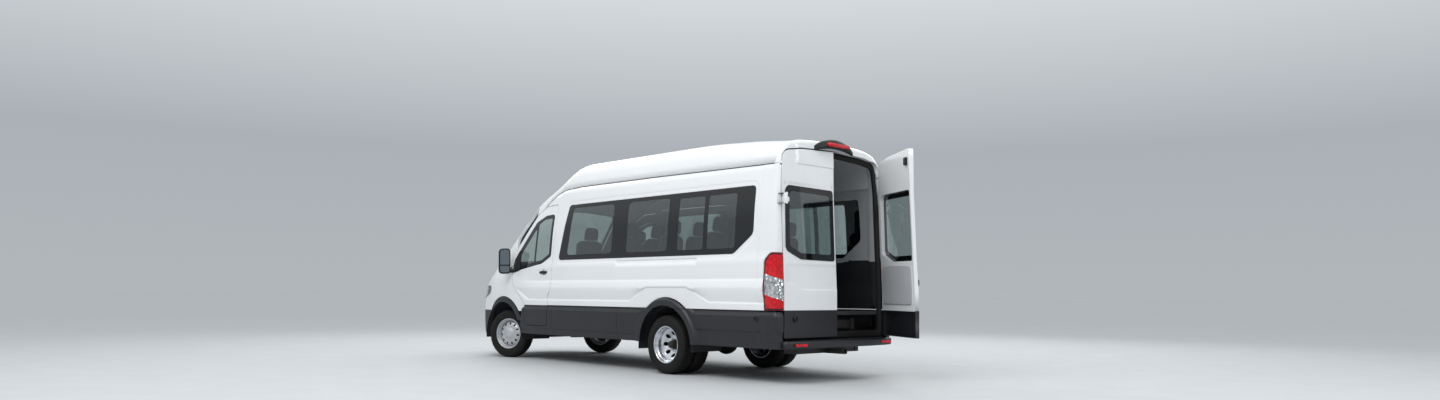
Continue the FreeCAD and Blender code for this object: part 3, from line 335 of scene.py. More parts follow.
def relief(p):
    """How far the pressed lines stand out of the plain form."""
    x, y, z = p[:, 0], np.abs(p[:, 1]), p[:, 2]
    flat = np.stack([x, z], 1)
    on_side = step_up((y - 0.80) / 0.06) * step_up((x + 5.50) / 0.05)
    # the side falls inward from the shoulder to the swage
    crest = SHOULDER - 0.085
    fall = np.clip((crest - z) / np.maximum(crest - swage(x), 0.06), 0, 1)
    out = -0.034 * fall ** 1.2 * step_up((z - swage(x) + 0.004) / 0.030) * step_up((0.05 - x) / 0.3)
    # the fold at the waist
    out += (np.interp(z, WAIST_HEIGHTS, WAIST_DEPTHS) * step_up((z - swage(x) + 0.004) / 0.030)
            * step_up((-0.25 - x) / 0.7))
    # the flat frame pressed round the band of windows
    near_band = (x < -1.2) & (x > -5.4) & (z > 1.2) & (z < 2.35)
    from_band = np.full(len(p), 1.0)
    from_band[near_band] = distance(flat[near_band], band_loop) * np.where(inside(flat[near_band], band_loop), -1, 1)
    out -= 0.005 * step_up((0.070 - from_band) / 0.022) + 0.005 * step_up((0.010 - from_band) / 0.006)
    # the drip channel along the roof
    out -= 0.010 * np.exp(-((z - ditch(x)) / 0.009) ** 2) * step_up((x + 5.45) / 0.03) * (x < -0.93)
    # the sliding door's runner slot
    slot = np.hypot(np.maximum(np.abs(x - SLOT_X) - SLOT_HALF, 0), z - SLOT_UP)
    out -= 0.011 * step_up((0.022 - slot) / 0.008)
    # the corner post stands out behind a ridge
    out += 0.005 * step_up((-5.27 - x) / 0.03) * step_up((z - 0.86) / 0.05)
    # the cup behind the front door's handle
    cup = np.hypot((x - HANDLE_X) / 0.085, (z - HANDLE_UP) / 0.042)
    out -= 0.016 * step_up((1 - cup) / 0.5)
    out *= on_side
    on_rear = step_up((-5.42 - x) / 0.05) * step_up((0.90 - y) / 0.03)
    # the rear doors' ledge, their brow, and the frame round each window
    ledge = step_up((z - 1.00 - 0.07 * step_up((y - 0.58) / 0.2)) / 0.025) * step_up((1.31 - z) / 0.05)
    back = -0.009 * ledge * step_up((0.87 - y) / 0.06)
    back += 0.010 * step_up((z - 2.405) / 0.018) * step_up((0.66 - y) / 0.05)
    around = np.maximum(np.maximum(1.345 - z, z - 2.155), np.maximum(0.03 - y, y - 0.85))
    back -= 0.006 * step_up((0.035 - around) / 0.015) * (z > 1.25) * (z < 2.3)
    return out + back * on_rear


def field_slope(field, at, e=0.002):
    """The outward line of a field at points."""
    grad = np.stack([field(at + np.eye(3)[i] * e) - field(at - np.eye(3)[i] * e) for i in range(3)], 1)
    return grad / np.maximum(np.linalg.norm(grad, axis=1), 1e-9)[:, None]


def onto_body(base, aim, pressing=relief, reach=2.4):
    """Where rays from inside meet the skin: the plain place and normal, and the pressed place and normal."""
    near, far = np.zeros(len(base)), np.full(len(base), reach)
    for _ in range(24):
        middle = (near + far) / 2
        outside = plain_form(base + aim * middle[:, None]) > 0
        far, near = np.where(outside, middle, far), np.where(outside, near, middle)
    place = base + aim * far[:, None]
    normal = field_slope(plain_form, place)
    if pressing is None:
        return place, normal, place, normal
    pressed_place = place + normal * pressing(place)[:, None]
    return place, normal, pressed_place, field_slope(lambda p: plain_form(p) - pressing(p), pressed_place)


TURN_X, TURN_STEP, TURN_IN = -5.46, 0.10, 0.07


def into_turn(along):
    """How far a panel's flat place has turned round the rear corner, and how far it has gone on past it."""
    turn = np.clip((TURN_X - along) / TURN_STEP, 0, math.pi / 2)
    return turn, np.clip(TURN_X - TURN_STEP * math.pi / 2 - along, 0, None)


def out_of_turn(x, across):
    """The flat place along a panel of points on the skin, the other way about."""
    turned = TURN_X - TURN_STEP * np.arctan2(TURN_X - x, np.maximum(across, 0)) - np.maximum(-across, 0)
    return np.where(x > TURN_X, x, turned)


def side_rays(flat, sign):
    """Side view (along, up): rays straight out, turning round the rear corner and on across the back."""
    pivot = half_width(flat[:, 1]) - TURN_IN
    turn, past = into_turn(flat[:, 0])
    base = np.stack([np.maximum(flat[:, 0], TURN_X), sign * np.where(turn > 0, pivot - past, 0.35), flat[:, 1]], 1)
    return base, np.stack([-np.sin(turn), sign * np.cos(turn), np.zeros(len(flat))], 1)


def side_flat(p):
    """The side view place of points on the skin."""
    across = np.abs(p[:, 1]) - (half_width(p[:, 2]) - TURN_IN)
    return np.stack([out_of_turn(p[:, 0], across), p[:, 2]], 1)


def rear_rays(flat, sign):
    """Rear view (out, up): rays that run backward."""
    base = np.stack([np.full(len(flat), -5.2), sign * flat[:, 0], flat[:, 1]], 1)
    return base, np.tile((-1.0, 0, 0), (len(flat), 1))


def fill(outline, cuts, lines, step):
    """Flat points and triangles inside an outline and outside its cuts, following every given line."""
    low, high = outline.min(0), outline.max(0)
    rows = np.arange(low[1] + step / 2, high[1], step * 0.87)
    grid = np.array([(x + (step / 2 if i % 2 else 0), row) for i, row in enumerate(rows)
                     for x in np.arange(low[0] + step / 3, high[0], step)])
    keep = inside(grid, outline)
    for cut in cuts:
        keep &= ~inside(grid, cut)
    grid = grid[keep]
    runs = [(loop, True) for loop in [outline] + list(cuts)] + [(line, False) for line in lines]
    for line, closed in runs:
        grid = grid[distance(grid, line, closed) > step * (0.5 if closed else 0.3)]
    parts, edges, at = [grid], [], len(grid)
    for line, closed in runs:
        parts.append(line)
        edges += [(at + i, at + (i + 1) % len(line)) for i in range(len(line) if closed else len(line) - 1)]
        at += len(line)
    made = delaunay_2d_cdt([Vector(p) for p in np.concatenate(parts)], edges, [], 0, 1e-5)
    flat, faces = np.array([tuple(v) for v in made[0]]), np.array([tuple(f) for f in made[2]])
    centre = flat[faces].mean(1)
    good = inside(centre, outline)
    for cut in cuts:
        good &= ~inside(centre, cut)
    faces = faces[good]
    a, b, c = flat[faces[:, 0]], flat[faces[:, 1]], flat[faces[:, 2]]
    area = (b[:, 0] - a[:, 0]) * (c[:, 1] - a[:, 1]) - (c[:, 0] - a[:, 0]) * (b[:, 1] - a[:, 1])
    faces[area < 0] = faces[area < 0][:, ::-1]
    faces = faces[np.abs(area) > 1e-9]
    used, faces = np.unique(faces, return_inverse=True)
    return flat[used], faces.reshape(-1, 3)


def edge_loops(faces):
    """Closed runs of the edges that only one face has, that face on their left."""
    edges = {(f[i], f[(i + 1) % 3]) for f in faces.tolist() for i in range(3)}
    ahead = {a: b for a, b in edges if (b, a) not in edges}
    loops = []
    while ahead:
        start, after = ahead.popitem()
        loop = [start]
        while after is not None and after != start:
            loop.append(after)
            after = ahead.pop(after, None)
        if len(loop) > 3:
            loops.append(loop)
    return loops


def add_mesh(name, points, faces, materials, marks=None, normals=None):
    """A mesh object from points in lengths from the front axle."""
    mesh = bpy.data.meshes.new(name)
    placed = np.asarray(points, float) + (AXLE_X, 0, 0)
    mesh.from_pydata(placed.tolist(), [], [tuple(int(i) for i in f) for f in faces])
    for material in materials:
        mesh.materials.append(material)
    if marks is not None:
        mesh.polygons.foreach_set("material_index", np.asarray(marks, np.int32))
    mesh.polygons.foreach_set("use_smooth", np.ones(len(mesh.polygons), bool))
    if normals is not None:
        mesh.normals_split_custom_set_from_vertices(np.asarray(normals).tolist())
    mesh.update()
    thing = bpy.data.objects.new(name, mesh)
    bpy.context.scene.collection.objects.link(thing)
    return thing


def pressed_panel(name, rays, sign, outline, materials, cuts=(), lines=(), step=0.04, depth=0.03, sunk=0.0,
                  pressing=relief, mark=None, lining_mark=None, place=None, hem=HEM):
    """A panel cut from the skin: its edge rolled over and returned inward, and lined where lining_mark is given.

    sunk sets the face below the skin, mark and lining_mark pick a material by the flat centre of each face
    (lining_mark may be its number), and place turns the finished points and normals, for a panel shown open."""
    flat, faces = fill(moved(outline, -hem), [moved(cut, hem) for cut in cuts], lines, step)
    plain, plain_normal, skin, skin_normal = onto_body(*rays(flat, sign), pressing)
    skin = skin - plain_normal * sunk
    a, b, c = skin[faces[:, 0]], skin[faces[:, 1]], skin[faces[:, 2]]
    flip = np.sum(np.cross(b - a, c - a) * skin_normal[faces[:, 0]], 1).sum() < 0
    centres = flat[faces].mean(1)
    points, normals = [skin], [skin_normal]
    marks = list(mark(centres)) if mark else [0] * len(faces)
    all_faces = [tuple(f[::-1]) if flip else tuple(f) for f in faces.tolist()]
    at = len(skin)
    under = None
    if lining_mark is not None:
        under = at
        points.append(plain - plain_normal * (depth + sunk))
        normals.append(-plain_normal)
        all_faces += [tuple(i + at for i in (f if flip else f[::-1])) for f in faces.tolist()]
        marks += list(lining_mark(centres)) if callable(lining_mark) else [lining_mark] * len(faces)
        at += len(skin)
    for loop in edge_loops(faces):
        edge = flat[loop]
        run = np.roll(edge, -1, 0) - np.roll(edge, 1, 0)
        run /= np.maximum(np.linalg.norm(run, axis=1), 1e-9)[:, None]
        _, _, beyond, _ = onto_body(*rays(edge + np.stack([run[:, 1], -run[:, 0]], 1) * 0.004, sign), pressing)
        face_place, face_normal = skin[loop], skin_normal[loop]
        out = beyond - plain_normal[loop] * sunk - face_place
        out -= face_normal * np.sum(out * face_normal, 1)[:, None]
        out /= np.maximum(np.linalg.norm(out, axis=1), 1e-9)[:, None]
        deep = plain[loop] - plain_normal[loop] * (depth + sunk)
        rings = [list(loop)]
        for angle in (35, 65, 90):
            lean = math.radians(angle)
            points.append(face_place + out * hem * math.sin(lean) - face_normal * hem * (1 - math.cos(lean)))
            normals.append(face_normal * math.cos(lean) + out * math.sin(lean))
            rings.append(list(range(at, at + len(loop))))
            at += len(loop)
        points.append(deep + out * hem)
        normals.append(out)
        rings.append(list(range(at, at + len(loop))))
        at += len(loop)
        if under is not None:
            rings.append([under + i for i in loop])
        for k, (upper, lower) in enumerate(zip(rings, rings[1:])):
            for i in range(len(loop)):
                j = (i + 1) % len(loop)
                face = (upper[j], upper[i], lower[i], lower[j])
                all_faces.append(face[::-1] if flip else face)
                marks.append(0)
    points, normals = np.concatenate(points), np.concatenate(normals)
    if place is not None:
        points, normals = place(points), place(normals, True)
    return add_mesh(name, points, all_faces, materials, marks, normals)


def on_skin(rays, points, sign=1):
    """Places and outward lines on the plain skin for points in a panel's flat view."""
    return onto_body(*rays(np.array(points, float), sign), None)[:2]


def side_view(points):
    """Points on the skin in the side panel's own flat view, from points in rear view."""
    return side_flat(on_skin(rear_rays, points)[0])


# Enamel: bright white under a wet gloss, its orange peel, 5 mm across, just felt in the reflections.
body_paint = shaded("white_enamel_sprayed_on_steel", "#E4E6E8", "#ECEDEE", (1.3, 4.0),
                    {"Roughness": 0.3, "Coat Weight": 1.0, "Coat Roughness": 0.04}, (220.0, 1.0, 0.0002, 0.2))
# Moulded polypropylene: dull, pale above the waist and charcoal below it. Its leather grain is too fine to show
# and is drawn at 2 mm.
trim_grey = shaded("light_grey_polypropylene_moulded", "#A4A6A9", "#B6B8BA", (4.0, 4.0), {"Roughness": 0.7},
                   (500.0, 2.0, 0.0005, 0.5))
trim_dark = shaded("charcoal_polypropylene_moulded", "#1B1C20", "#27282C", (5.0, 4.0), {"Roughness": 0.7},
                   (500.0, 2.0, 0.0005, 0.5))

steel_lined = [body_paint, trim_grey, trim_dark]
WAIST = 1.38


def by_waist(centres):
    """Linings: grey above the waist, charcoal below."""
    return np.where(centres[:, 1] > WAIST, 1, 2)


def circle(x, z, radius, count=72):
    """A round loop."""
    turn = np.linspace(0, 2 * math.pi, count, endpoint=False)
    return np.stack([x + radius * np.cos(turn), z + radius * np.sin(turn)], 1)


def box_loop(x_low, x_high, z_low, z_high, radius, step=0.06):
    """An upright rectangle with round corners."""
    return rounded(((x_low, z_low, radius), (x_high, z_low, radius), (x_high, z_high, radius),
                    (x_low, z_high, radius)), step)


def level_line(height, start, end, step=0.04):
    """A line along the side at a height, or along a curve of heights."""
    along = np.arange(start, end, step)
    return np.stack([along, height(along) if callable(height) else np.full(len(along), height)], 1)


SEAM = GAP / 2
SIDES = ((1, "left"), (-1, "right"))
front_door_loop = rounded(FRONT_DOOR)
sliding_loop = rounded(SLIDING_DOOR, 0.04)
opening_edge = [p for p in rounded(REAR_OPENING) if p[0] > 0 and BAND + 0.01 < p[1] < 2.385]
opening_edge.sort(key=lambda p: p[1])
opening_side = side_view([(p[0] + GAP, p[1]) for p in opening_edge])
TAIL_LAMP = ((-5.381, 0.787, 0.01), (-5.70, 0.787, 0.01), (-5.70, 1.408, 0.01), (-5.46, 1.408, 0.07),
             (-5.381, 1.33, 0.09))
swage_lines = [level_line(lambda x, d=d: swage(x) + d, -5.44, -0.30)
               for d in (-0.004, 0.003, 0.010, 0.018, 0.026, 0.05)]
shoulder_lines = [level_line(SHOULDER - d, -5.44, 0.0) for d in (0.0, 0.03, 0.06, 0.09, 0.12, 0.15)]
band_lines = [ringed(moved(band_loop, d)) for d in (0.012, 0.046, 0.058, 0.070)]
slot_loop = box_loop(-2.748, -4.282, 1.331, 1.375, 0.022, 0.03)
slot_lines = [ringed(moved(slot_loop, d)) for d in (0.0, -0.005, -0.010)]
ridge_lines = [level_line(x, 0.87, 2.36)[:, ::-1] for x in (-5.27, -5.285, -5.30)]
waist_lines = [level_line(z, -5.44, -0.3) for z in (1.111, 1.117, 1.124, 1.133, 1.16, 1.19, 1.22, 1.25, 1.28)]
side_lines = waist_lines + swage_lines + shoulder_lines + band_lines + slot_lines + ridge_lines
side_outline = dense([(-0.6, BAND)] + [(-0.6, float(ditch(-0.6)))]
                     + [(x, float(ditch(x)) - 0.002) for x in np.arange(-0.64, -5.46, -0.04)]
                     + [(-5.52, 2.392)] + [tuple(p) for p in opening_side[::-1]] + [(opening_side[0][0], BAND)])


def fitted(piece, slot, body, *nodes):
    """Hands a piece over to the body that carries it and hides the model's nodes it stands for; slot, its finish's
    slot, is not used.
    """
    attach(piece, body)
    if nodes:
        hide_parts(*nodes)


for sign, side in SIDES:
    cuts = [moved(front_door_loop, GAP), circle(REAR_AXLE, AXLE_Z, 0.566), moved(band_loop, -0.012),
            moved(rounded(TAIL_LAMP), 0.003)]
    if sign < 0:
        cuts.append(moved(sliding_loop, GAP))
    panel = pressed_panel("body_side_skin_" + side, side_rays, sign, side_outline, steel_lined,
                          cuts, side_lines, 0.06, 0.06, lining_mark=by_waist)
    fitted(panel, "white_paint", "body", "body_side_" + side)

# Sliding door, on the right only. The same pressed skin, returned all round, with its window bonded outside.
door = pressed_panel("sliding_door_skin", side_rays, -1, dense([(-1.355, BAND), (-2.79, BAND)] + [
    tuple(p) for p in sliding_loop if p[1] > BAND + 0.02]), steel_lined,
                     [moved(band_loop, -0.012)], side_lines, 0.06, 0.05, lining_mark=by_waist)
fitted(door, "white_paint", "body", "sliding_door")

# Roof. One tall pressed panel from gutter to gutter, rolled over the header of the rear opening; the drip
# channel at its sides is the seam with the body sides.
ROOF_CENTRE, HOOP = 2.0, 0.9


def roof_base(angle, reach):
    """Points round the roof's inner line, at the place where it starts to turn down."""
    return np.stack([np.full(len(angle), TURN_X), reach * np.sin(angle), ROOF_CENTRE + reach * np.cos(angle)], 1)


def roof_radial(angle):
    """The direction outward from the roof's inner line."""
    return np.stack([np.zeros(len(angle)), np.sin(angle), np.cos(angle)], 1)


fan = np.linspace(-2.0, 2.0, 201)
fan_reach = np.linalg.norm(onto_body(roof_base(fan, np.full(201, 0.05)), roof_radial(fan), None)[0]
                           - (TURN_X, 0, ROOF_CENTRE), axis=1)


def roof_rays(flat, sign):
    """(along, girth): rays that fan out from a line inside the roof and turn over its rear edge."""
    angle = flat[:, 1] / HOOP
    turn, past = into_turn(flat[:, 0])
    base = roof_base(angle, np.where(turn > 0, np.interp(angle, fan, fan_reach) - TURN_IN - past, 0.05))
    base[:, 0] = np.maximum(flat[:, 0], TURN_X)
    return base, roof_radial(angle) * np.cos(turn)[:, None] - np.stack([np.sin(turn), turn * 0, turn * 0], 1)


def roof_flat(p):
    """The roof view place of points on the skin."""
    angle = np.arctan2(p[:, 1], p[:, 2] - ROOF_CENTRE)
    across = np.hypot(p[:, 1], p[:, 2] - ROOF_CENTRE) - np.interp(angle, fan, fan_reach) + TURN_IN
    return np.stack([out_of_turn(p[:, 0], across), angle * HOOP], 1)


def from_side(points):
    """Places on the plain skin from side view points."""
    return on_skin(side_rays, points)[0]


FRAME_X = -0.74
gutter = [(x, float(ditch(x)) + 0.002) for x in np.arange(-5.46, -0.66, 0.04)]
gutter_left = roof_flat(from_side([(-5.60, 2.392), (-5.52, 2.392)] + gutter))
gutter_left = gutter_left[gutter_left[:, 0] < FRAME_X + 0.001]
header = [p for p in moved(rounded(REAR_OPENING), GAP) if p[1] > 2.38]
header_flat = roof_flat(on_skin(rear_rays, header)[0])
header_flat = header_flat[np.argsort(header_flat[:, 1])]
mirrored = gutter_left[::-1] * (1, -1)
roof_outline = dense(np.concatenate([header_flat[1:-1], gutter_left, mirrored]), 0.04)
door_on_roof = roof_flat(from_side(front_door_loop))
roof_cuts = [moved(door_on_roof, GAP), moved((door_on_roof * (1, -1))[::-1], GAP)]
roof_lines = [np.array([(x, girth) for girth in np.arange(-1.0, 1.0, 0.04)]) for x in (-5.47, -5.50, -5.53, -5.57)]
roof = pressed_panel("roof_skin", roof_rays, 1, roof_outline, steel_lined, roof_cuts,
                     roof_lines, 0.07, 0.05, lining_mark=1)
fitted(roof, "white_paint", "body", "roof_panel")

# Windscreen frame. Boxed steel pillars and a header, welded round the screen and sprayed with the body; the
# header passes under the roof's front edge.
CAB_CENTRE, CAB_ARC = np.array((-1.3, 0, 1.55)), 1.2


def cab_rays(flat, sign):
    """Rays that fan out from inside the cab, by bearing and height."""
    bearing, rise = flat[:, 0] / CAB_ARC, flat[:, 1] / CAB_ARC
    aim = np.stack([np.cos(bearing) * np.cos(rise), np.sin(bearing) * np.cos(rise), np.sin(rise)], 1)
    return np.tile(CAB_CENTRE, (len(flat), 1)), aim


def cab_flat(p):
    """The cab view place of points on the skin."""
    d = p - CAB_CENTRE
    return CAB_ARC * np.stack([np.arctan2(d[:, 1], d[:, 0]), np.arctan2(d[:, 2], np.hypot(d[:, 0], d[:, 1]))], 1)


def screen_rays(flat, sign):
    """(across, up the slant): rays square to the windscreen."""
    lean, rise = np.array((-math.cos(SCREEN_SLOPE), 0, math.sin(SCREEN_SLOPE))), SCREEN_FOOT
    normal = np.array((math.sin(SCREEN_SLOPE), 0, math.cos(SCREEN_SLOPE)))
    base = np.array((0.42, 0, rise)) + flat[:, 1:] * lean + flat[:, :1] * (0, 1, 0) - 0.40 * normal
    return base, np.tile(normal, (len(flat), 1))


SCREEN = ((0.785, 0.015, 0.12), (0.840, 0.20, 0.3), (0.660, 1.285, 0.14), (0, 1.325, 3.0), (-0.660, 1.285, 0.14),
          (-0.840, 0.20, 0.3), (-0.785, 0.015, 0.12), (0, -0.012, 3.0))
screen_loop = rounded(SCREEN, 0.04)
screen_on_cab = cab_flat(on_skin(screen_rays, screen_loop)[0])


def brow_line(ahead, reach):
    """A line across the header, so far ahead of the roof's front edge."""
    brow = np.stack([np.full(80, FRAME_X + ahead), np.linspace(-reach, reach, 80)], 1)
    return cab_flat(on_skin(roof_rays, brow)[0])


def frame_relief(p):
    """The header steps down to pass under the roof's front edge."""
    return relief(p) - 0.006 * step_up((FRAME_X + 0.012 - p[:, 0]) / 0.012)


brow_flat = brow_line(-0.020, 1.42)
sill = np.array([(0.0, -0.126), (0.45, -0.142), (0.571, -0.152), (0.70, -0.205), (0.80, -0.222), (0.93, -0.235),
                 (1.10, -0.23)])
sill_all = np.concatenate([(sill * (-1, 1))[:0:-1], sill])
frame_outline = dense(np.concatenate([sill_all, brow_flat[::-1]]), 0.04)
door_on_cab = cab_flat(from_side(front_door_loop))
frame_cuts = [moved(screen_on_cab, 0.004), moved(door_on_cab, GAP), moved((door_on_cab * (1, -1))[::-1], GAP)]
pillars = pressed_panel("windscreen_pillars_and_header", cab_rays, 1, frame_outline,
                        steel_lined, frame_cuts,
                        [brow_line(d, 1.38) for d in (-0.006, 0.0, 0.006, 0.012)], 0.05, 0.04, pressing=frame_relief,
                        lining_mark=1)
fitted(pillars, "white_paint", "body")

# Bonnet and front wings. Pressed steel in body colour. The wings are bolted on, and their arches are edged
# with a black moulded lip.
NOSE_AXIS, NOSE_ARC = 0.25, 0.85


def nose_rays(flat, sign):
    """(bearing, up): level rays that fan out from an upright line in the engine bay."""
    bearing = flat[:, 0] / NOSE_ARC
    base = np.stack([np.full(len(flat), NOSE_AXIS), np.zeros(len(flat)), flat[:, 1]], 1)
    return base, np.stack([np.cos(bearing), sign * np.sin(bearing), np.zeros(len(flat))], 1)


def nose_flat(p):
    """The nose view place of points on the skin, the two sides folded together."""
    return np.stack([NOSE_ARC * np.arctan2(np.abs(p[:, 1]), p[:, 0] - NOSE_AXIS), p[:, 2]], 1)


def plan_rays(flat, sign):
    """Plan (along, out): upright rays."""
    return (np.stack([flat[:, 0], flat[:, 1], np.full(len(flat), 0.6)], 1),
            np.tile((0.0, 0, 1), (len(flat), 1)))


BONNET_PLAN = ((0.476, 0, 0), (0.406, 0.58, 0.7), (0.322, 0.785, 0.01), (0.60, 0.77, 0.2), (0.890, 0.64, 0.2),
               (0.966, 0, 1.2), (0.890, -0.64, 0.2), (0.60, -0.77, 0.2), (0.322, -0.785, 0.01), (0.406, -0.58, 0.7))
bonnet_loop = rounded(BONNET_PLAN)


def bonnet_relief(p):
    """Two soft ridges that run along the bonnet, closing towards its front edge."""
    x, y = p[:, 0], np.abs(p[:, 1])
    ridge = y - (0.60 - 0.30 * np.clip((x - 0.35) / 0.65, 0, 1))
    return 0.010 * step_up((ridge + 0.03) / 0.05) * step_up((0.98 - x) / 0.12) * step_up((p[:, 2] - 1.0) / 0.06)


ridge_lines = [np.array([(x, s * (0.60 + d - 0.30 * (x - 0.35) / 0.65)) for x in np.arange(0.36, 0.98, 0.03)])
               for s in (1, -1) for d in (-0.03, -0.015, 0.0, 0.02)]
ridge_lines += [ringed(moved(bonnet_loop, -d)) for d in (0.014, 0.026, 0.040, 0.058)]
bonnet = pressed_panel("bonnet_skin", plan_rays, 1, bonnet_loop, [body_paint, trim_dark], (), ridge_lines, 0.030,
                       0.02, pressing=bonnet_relief, lining_mark=1)
fitted(bonnet, "white_paint", "bonnet", "bonnet")


def nose_view(points):
    """Points in plan, in the nose panels' flat view."""
    return nose_flat(on_skin(plan_rays, points)[0])


lamp_loop = rounded(((0.405, 0.840, 0.03), (0.80, 0.815, 0.12), (1.15, 0.955, 0.05), (1.20, 1.06, 0.03),
                     (0.85, 1.045, 0.2), (0.42, 0.945, 0.04)))
door_on_nose = nose_flat(from_side(front_door_loop))
bonnet_side = [p for p in rounded(BONNET_PLAN) if p[1] > 0.02]
bonnet_on_nose = nose_view(bonnet_side)
arch_on_nose = nose_flat(from_side(circle(0, AXLE_Z, 0.552)))
WING_FRONT, WING_BACK = 0.36, 1.96
grille_loop = rounded(((-0.445, 0.70, 0.02), (0.445, 0.70, 0.02), (0.375, 0.935, 0.05), (-0.375, 0.935, 0.05)))
shoulder = nose_flat(from_side([(0.26, 1.258), (0.18, 1.245), (0.05, 1.240), (-0.10, 1.245), (-0.25, 1.26)]))
wing_top = np.concatenate([nose_view([(0.80, 0.3), (0.78, 0.55), (0.55, 0.66), (0.31, 0.68)]), shoulder])
wing_outline = dense([(WING_FRONT, 0.69), (WING_FRONT, 1.0)] + [tuple(p) for p in wing_top]
                     + [(WING_BACK, 1.25), (WING_BACK, 0.69)])
for sign, side in SIDES:
    cuts = [moved(door_on_nose, GAP), moved(lamp_loop, 0.004), arch_on_nose, moved(bonnet_on_nose, GAP),
            moved(grille_loop, 0.003)]
    wing = pressed_panel("front_wing_skin_" + side, nose_rays, sign, wing_outline, [body_paint, trim_dark], cuts,
                         (), 0.04, 0.02)
    fitted(wing, "white_paint", "body")
    if sign > 0:
        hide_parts("front_wings")

front_edge = np.array(sorted([tuple(p) for p in bonnet_loop if p[0] > 0.80], key=lambda p: p[1]))
edge_on_nose = nose_view(front_edge) * np.stack([np.sign(front_edge[:, 1] + 1e-9), np.ones(len(front_edge))], 1)
over_nose = np.concatenate([edge_on_nose, [(0.9, 1.7), (-0.9, 1.7)]])
nose_loop = dense([(-WING_FRONT + GAP, 0.69), (WING_FRONT - GAP, 0.69), (WING_FRONT - GAP, 1.3),
                   (-WING_FRONT + GAP, 1.3)])
nose = pressed_panel("nose_panel_skin", nose_rays, 1, nose_loop, [body_paint],
                     [moved(over_nose, GAP), moved(grille_loop, 0.003)], (), 0.03, 0.02)
fitted(nose, "white_paint", "body")

# Front doors. A pressed skin and a welded window frame in one, hung ahead and shut on a black rubber seal;
# the lower part wears a moulded cladding. The pull handle sits in a pressed cup.
FRONT_WINDOW = ((-1.215, 1.48, 0.04), (-1.01, 1.385, 0.12), (-0.40, 1.30, 0.06), (-0.33, 1.50, 0.06),
                (-0.77, 1.955, 0.11), (-1.0, 2.035, 0.15), (-1.215, 2.045, 0.04))
window_loop = rounded(FRONT_WINDOW)
below_band = dense([(-7.0, -1.0), (1.0, -1.0), (1.0, BAND - SEAM), (-7.0, BAND - SEAM)], 0.5)
above_band = dense([(-7.0, BAND + SEAM), (1.0, BAND + SEAM), (1.0, 3.0), (-7.0, 3.0)], 0.5)

# Black polypropylene: a soft sheen over a fine grain, drawn at 1.4 mm so that it shows.
black_plastic = shaded("black_polypropylene_moulded", "#131416", "#1C1D20", (6.0, 4.0),
                       {"Roughness": 0.5, "Specular IOR Level": 0.35}, (700.0, 2.0, 0.0004, 0.5))
# The cladding's thermoplastic: a dark bluish grey whose sheen comes and goes in patches 0.3 m across; its fine
# grain is drawn at 1.4 mm so that it shows.
cladding_grey = shaded("dark_grey_thermoplastic_moulded", "#101117", "#17181E", (3.0, 5.0),
                       {"Roughness": (0.40, 0.58), "Specular IOR Level": 0.6}, (700.0, 2.0, 0.0004, 0.5))


def crease(x):
    """Where the cladding folds inward towards the sill: lower ahead of the rear wheel, higher behind it."""
    return np.where(x > REAR_AXLE, 0.47, 0.565)


def clad_relief(p):
    """The cladding stands off the steel, folds in below its crease and swells into the wheel arch."""
    x, z = p[:, 0], p[:, 2]
    ring = np.hypot(x - REAR_AXLE, z - AXLE_Z)
    out = 0.018 + 0.028 * step_up((0.562 - ring) / 0.030)
    out -= 0.016 * step_up((crease(x) - z) / 0.03) * step_up((ring - 0.555) / 0.02)
    out += 0.004 * np.exp(-((z - crease(x) - 0.03) / 0.008) ** 2) * step_up((ring - 0.575) / 0.02)
    return out - 0.040 * np.clip((z - 0.718) / 0.062, 0, 1) * step_up((ring - 0.60) / 0.05)


clad_lines = [level_line(0.47 - d, -3.2, -0.5) for d in (0, 0.012, 0.03)]
clad_lines += [level_line(0.565 - d, -5.6, -4.25) for d in (0, 0.012, 0.03)]
clad_lines += [level_line(z, -5.6, -0.5) for z in (0.712, 0.718, 0.726, 0.75)]
arcs = [circle(REAR_AXLE, AXLE_Z, r, 90) for r in (0.532, 0.540, 0.552, 0.562)]
clad_lines += [arc[arc[:, 1] > 0.36] for arc in [np.vstack([a[68:], a[:68]]) for a in arcs]]
for sign, side in SIDES:
    door = pressed_panel("front_door_skin_" + side, side_rays, sign, front_door_loop,
                         steel_lined, [below_band, moved(window_loop, 0.020)], side_lines,
                         0.05, 0.045, lining_mark=by_waist)
    fitted(door, "white_paint", "front_door_" + side, "front_door_" + side)
    shield = pressed_panel("front_door_cladding_" + side, side_rays, sign, front_door_loop, [cladding_grey],
                           [above_band], clad_lines, 0.05, 0.04, pressing=clad_relief)
    fitted(shield, "dark_cladding", "front_door_" + side)

# Lower cladding. One long moulded strip along each sill, swelling into the wide lips of the twin wheels'
# arches; on the right the sliding door carries its own length of it.
SILL = 0.372
clad_outline = dense([(-0.50, SILL), (-0.50, 0.56), (-0.56, BAND - SEAM), (-5.30, BAND - SEAM), (-5.30, SILL)], 0.05)
for sign, side in SIDES:
    flare_cap = circle(REAR_AXLE, AXLE_Z, 0.562, 90)
    cuts = [circle(REAR_AXLE, AXLE_Z, 0.470, 80), moved(front_door_loop, GAP)]
    if sign < 0:
        cuts.append(moved(sliding_loop, GAP))
    else:
        cuts += [dense([(x - 0.0015, 0.3), (x + 0.0015, 0.3), (x + 0.0015, 0.9), (x - 0.0015, 0.9)], 0.1)
                 for x in (-1.325, -2.79)]
    strip = pressed_panel("lower_cladding_skin_" + side, side_rays, sign, clad_outline, [cladding_grey], cuts,
                          clad_lines, 0.05, 0.03, pressing=clad_relief)
    cap_cuts = [circle(REAR_AXLE, AXLE_Z, 0.470, 80), below_band + (0, GAP / 2)]
    cap = pressed_panel("rear_arch_lip_" + side, side_rays, sign, flare_cap, [cladding_grey], cap_cuts,
                        clad_lines, 0.05, 0.03, pressing=clad_relief)
    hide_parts("lower_cladding_" + side)
    for piece in (strip, cap):
        fitted(piece, "dark_cladding", "body")
